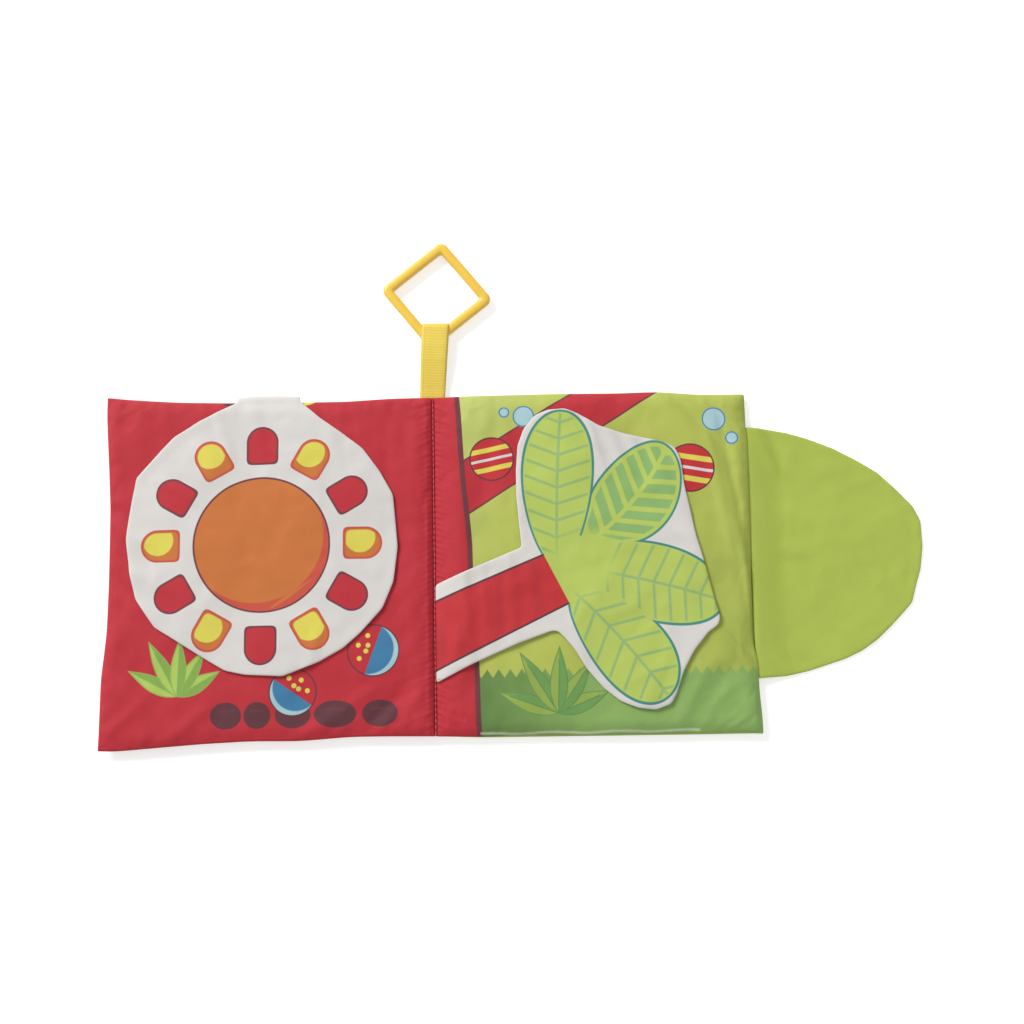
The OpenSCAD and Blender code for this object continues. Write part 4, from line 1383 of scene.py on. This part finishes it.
@dataclass
class RibbonLoop:
    """Ribbed ribbon, sewn into the head of the spine and folded over the ring."""

    width: float = 11.6
    fold_width: float = 12.6
    lean: float = 2.0
    start_x: float = -0.4
    thickness: float = 0.5
    rib_pitch: float = 0.76
    rib_height: float = 0.14
    start_y: float = 78.9
    fold_y: float = 115.6
    fold_r: float = 3.0
    open_y: float = 104.5
    plain_edge: float = 0.76
    slope_step: float = 0.4

    def path(self) -> np.ndarray:
        """Middle line of the ribbon in Y and Z, from its upper end round the fold and back."""
        r = self.fold_r - self.thickness / 2 - self.rib_height
        centre = self.fold_y - self.fold_r
        upper = [(self.start_y, 1.85), (84, 2.35), (92, 3.9), (98, 4.95), (self.open_y, 5.55)]
        arc = [(centre + r * math.sin(a), self.fold_r + r * math.cos(a))
               for a in np.linspace(0, math.pi, 24)]
        lower = [(self.open_y, 0.45), (96, 0.5), (88, 0.65), (self.start_y, 1.2)]
        return np.array([*upper, *arc, *lower])

    def build(self) -> bpy.types.Object:
        """Makes the ribbon's object.

        Returns:
            The ribbon.
        """
        line = self.path()
        lengths = np.linalg.norm(np.diff(line, axis=0), axis=1)
        along = np.concatenate([[0], np.cumsum(lengths)])
        total = along[-1]
        rows = int(total / self.rib_pitch * 4)
        bm = bmesh.new()
        bmesh.ops.create_grid(bm, x_segments=12, y_segments=rows, size=0.5)
        lower = list(bm.verts)
        shares = {v: (v.co.x, v.co.y + 0.5) for v in lower}
        grown = bmesh.ops.extrude_face_region(bm, geom=bm.faces[:])["geom"]
        upper = [v for v in grown if isinstance(v, bmesh.types.BMVert)]
        shares.update({v: (v.co.x, v.co.y + 0.5) for v in upper})
        flat = {}
        for vertices, side in ((lower, -1), (upper, 1)):
            for vertex in vertices:
                across, share = shares[vertex]
                s = share * total
                y, z = (float(np.interp(s, along, line[:, k])) for k in (0, 1))
                ahead = [float(np.interp(min(s + self.slope_step, total), along, line[:, k])) for k in (0, 1)]
                behind = [float(np.interp(max(s - self.slope_step, 0), along, line[:, k])) for k in (0, 1)]
                dy, dz = ahead[0] - behind[0], ahead[1] - behind[1]
                size = math.hypot(dy, dz)
                out_y, out_z = -dz / size, dy / size
                rise = (y - self.start_y) / (self.fold_y - self.start_y)
                width = self.width + (self.fold_width - self.width) * rise
                edge = abs(across) * 2
                ribs = 1 - float(smoothstep((edge - self.plain_edge) / 0.06))
                bump = self.rib_height * (0.25 + 0.75 * ribs) * abs(math.sin(math.pi * s / self.rib_pitch))
                half = self.thickness / 2 * (1 - 0.3 * (edge > 0.97)) + bump
                x = self.start_x + self.lean * rise + across * width
                vertex.co = (x, y + side * out_y * half, z + side * out_z * half)
                flat[vertex] = (across * self.width, s)
        yellow = ClothFinish(roughness=0.48, sheen=0.2, weave_pitch=0.38, weave_depth=0.012, crease_depth=0.05,
                             fold_depth=0.0)

        def groove_shade_and_edge_line(painter: Painter) -> None:
            """Paints shade into the grooves between the ribs, and darkens the line inside each woven edge."""
            # Painted shade: darker yellow in the grooves between the ribs.
            groove = abs((painter.y * (math.pi / self.rib_pitch)).node("SINE"))
            painter.paint((groove * -1.0 + 1.0) * 0.6, ink("d6a83c"))
            painter.paint((abs(abs(painter.x) - 4.45) - 0.12).mask(0.2) * 0.5, ink("d9ae45"))

        piece = finish_mesh("ribbed_ribbon", bm, [yellow.material("yellow_ribbon", ink("f4dd62"), groove_shade_and_edge_line)],
                            flat=lambda v: flat[v])
        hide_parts("ribbon_loop")
        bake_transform(piece)
        return piece


@dataclass
class Ring:
    """Square plastic ring with rounded bars and corners."""

    side: float = 38.0
    bar_w: float = 4.4
    bar_t: float = 4.2
    corner_out: float = 3.6
    corner_in: float = 1.1
    turn: float = 51.4
    middle: tuple[float, float, float] = (2.2, 129.5, 3.0)
    segments: int = 128
    sections: int = 20
    squareness: float = 0.62
    ridge_high: float = 0.15

    def rounded_square(self, reach: float, radius: float, share: float) -> Point:
        """Place on a rounded square's edge, at a share of the way round it."""
        quarter = share * 4
        corner, part = int(quarter) % 4, quarter % 1
        straight = reach - radius
        if part < 0.5:
            x, y = reach, straight * (part * 4 - 1)
        else:
            c, s = turned((part - 0.5) * 180)
            x, y = straight + radius * c, straight + radius * s
        c, s = turned(corner * 90)
        return x * c - y * s, x * s + y * c

    def build(self) -> bpy.types.Object:
        """Makes the ring's object.

        Returns:
            The ring.
        """
        bm = bmesh.new()
        bmesh.ops.create_circle(bm, cap_ends=False, radius=1.0, segments=self.segments)
        first = sorted(bm.verts, key=lambda v: math.atan2(v.co.y, v.co.x) % (2 * math.pi))
        loops = [first]
        edges = list(bm.edges)
        for _ in range(self.sections):
            grown = bmesh.ops.extrude_edge_only(bm, edges=edges)["geom"]
            edges = [e for e in grown if isinstance(e, bmesh.types.BMEdge)]
            verts = [v for v in grown if isinstance(v, bmesh.types.BMVert)]
            loops.append(sorted(verts, key=lambda v: math.atan2(v.co.y, v.co.x) % (2 * math.pi)))
        for k, loop in enumerate(loops):
            angle = 2 * math.pi * k / self.sections
            c, s = math.cos(angle), math.sin(angle)
            across = math.copysign(abs(c) ** self.squareness, c)
            up = math.copysign(abs(s) ** self.squareness, s)
            share = (across + 1) / 2
            reach = self.side / 2 - self.bar_w * (1 - share)
            radius = self.corner_in + (self.corner_out - self.corner_in) * share
            ridge = self.ridge_high * (1 - abs(across))
            for i, vertex in enumerate(loop):
                x, y = self.rounded_square(reach, radius, i / self.segments)
                vertex.co = (x, y, up * (self.bar_t / 2 - self.ridge_high) + ridge * up)
        bmesh.ops.remove_doubles(bm, verts=bm.verts, dist=0.0001)
        bmesh.ops.rotate(bm, cent=(0, 0, 0), matrix=Matrix.Rotation(math.radians(-self.turn), 3, "Z"),
                         verts=bm.verts)
        bmesh.ops.translate(bm, vec=self.middle, verts=bm.verts)
        piece = finish_mesh("square_ring", bm, [PlasticFinish(ink("f6cb4a")).material("ring_plastic")])
        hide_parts("ring")
        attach(piece, "ring")
        return piece


@dataclass(frozen=True)
class Lamp:
    """A square soft lamp: its place in metres, size and power."""

    name: str
    place: tuple[float, float, float]
    size: float
    power: float


@dataclass
class Studio:
    """White floor, soft light and the camera."""

    lens: float = 50.0
    sensor_width: float = 36.0
    camera_right: tuple[float, float, float] = (0.99981571, -0.01890579, -0.0033336)
    camera_up: tuple[float, float, float] = (0.01919744, 0.98462626, 0.17361618)
    camera_back: tuple[float, float, float] = (0.0, -0.17364818, 0.98480775)
    camera_place: tuple[float, float, float] = (0.03589, -0.08911, 0.64838)
    world_strength: float = 0.42
    floor_size: float = 2500.0
    floor_grey: float = 0.86
    floor_glow: float = 0.5
    lamps: tuple[Lamp, ...] = (Lamp("key", (-1.5, 1.6, 1.5), 0.9, 61.0), Lamp("fill", (0.6, -0.5, 1.1), 1.2, 2.0))
    lit_place: tuple[float, float, float] = (0.03, 0.0, 0.0)

    def seen(self, tree: bpy.types.NodeTree) -> Field:
        """Field that is 1 for the rays that show the background, and 0 for those that light the book."""
        path = tree.nodes.new("ShaderNodeLightPath")
        seen = Field(tree, path.outputs["Is Camera Ray"]).max(Field(tree, path.outputs["Is Glossy Ray"]))
        return seen.max(Field(tree, path.outputs["Is Transmission Ray"]))

    def floor(self) -> bpy.types.Object:
        """Makes the floor, which reads white and keeps the book's shadow."""
        bm = bmesh.new()
        bmesh.ops.create_grid(bm, x_segments=1, y_segments=1, size=self.floor_size)
        made = bpy.data.materials.new("floor")
        made.use_nodes = True
        tree = made.node_tree
        tree.nodes.clear()
        output = tree.nodes.new("ShaderNodeOutputMaterial")
        diffuse = tree.nodes.new("ShaderNodeBsdfDiffuse")
        diffuse.inputs["Color"].default_value = (*[self.floor_grey] * 3, 1)
        glow = tree.nodes.new("ShaderNodeEmission")
        tree.links.new((self.seen(tree) * self.floor_glow).socket, glow.inputs["Strength"])
        add = tree.nodes.new("ShaderNodeAddShader")
        tree.links.new(diffuse.outputs[0], add.inputs[0])
        tree.links.new(glow.outputs[0], add.inputs[1])
        tree.links.new(add.outputs[0], output.inputs["Surface"])
        piece = finish_mesh("floor", bm, [made])
        piece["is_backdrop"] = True
        return piece

    def lights(self) -> None:
        """Adds a large soft lamp beyond the book's head, a weak one, and a world that looks white."""
        for lamp in self.lamps:
            light = bpy.data.lights.new(lamp.name, "AREA")
            light.size = lamp.size
            light.energy = lamp.power
            made = bpy.data.objects.new(lamp.name, light)
            made.location = lamp.place
            heading = Vector(self.lit_place) - Vector(lamp.place)
            made.rotation_euler = heading.to_track_quat("-Z", "Y").to_euler()
            bpy.context.scene.collection.objects.link(made)
        world = bpy.data.worlds.new("studio")
        world.use_nodes = True
        tree = world.node_tree
        background = tree.nodes["Background"]
        background.inputs["Color"].default_value = (1, 1, 1, 1)
        strength = self.seen(tree) * (1 - self.world_strength) + self.world_strength
        tree.links.new(strength.socket, background.inputs["Strength"])
        bpy.context.scene.world = world

    def camera(self) -> None:
        """Adds the camera, nearly overhead, as the photograph was taken."""
        data = bpy.data.cameras.new("camera")
        data.lens = self.lens
        data.sensor_width = self.sensor_width
        made = bpy.data.objects.new("camera", data)
        axes = (self.camera_right, self.camera_up, self.camera_back, self.camera_place)
        made.matrix_world = Matrix((*zip(*axes), (0, 0, 0, 1)))
        bpy.context.scene.collection.objects.link(made)
        bpy.context.scene.camera = made

    def build(self) -> None:
        """Makes the floor, the lights and the camera."""
        self.floor()
        self.lights()
        self.camera()
        bpy.context.scene.view_settings.view_transform = "Standard"


PRINT_NODES = {
    "left_page": ("left_tuft", "pebbles", "left_balls_blue", "left_balls_red", "left_ball_dots"),
    "sun_flap": ("sun_outline", "sun_disc", "sun_ray_outlines", "sun_rays_red", "sun_rays_yellow"),
    "right_page": ("trunk_band", "trunk_line", "branch", "branch_lines", "grass_band", "right_tuft",
                   "right_balls_red", "right_balls_yellow", "bubbles"),
    "tree_flap": ("flap_trunk", "flap_trunk_lines", "leaf_outlines", "leaves", "leaf_veins"),
}


def main() -> None:
    """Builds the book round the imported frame."""
    logging.basicConfig(level=logging.INFO, format="%(message)s")
    Studio().build()
    pieces = Book().build()
    flaps = Flaps()
    pieces["sun_flap"] = flaps.sun(pieces["left_page"])
    pieces["tree_flap"] = flaps.tree(pieces["right_page"])
    pieces["bush_flap"] = flaps.bush()
    pieces["ring"] = Ring().build()
    pieces["ribbon_loop"] = RibbonLoop().build()
    for name, nodes in PRINT_NODES.items():
        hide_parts(*nodes)
    for name, piece in pieces.items():
        log.info("%s: %d faces", name, len(piece.data.polygons))
    boxes = {"cad": [list(corner) for corner in cad_box], "visual": [list(corner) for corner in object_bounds()]}
    log.info("sizes in mm: %s", {k: [round((b - a) / MM, 1) for a, b in zip(*v)] for k, v in boxes.items()})


if __name__ == "__main__":
    main()
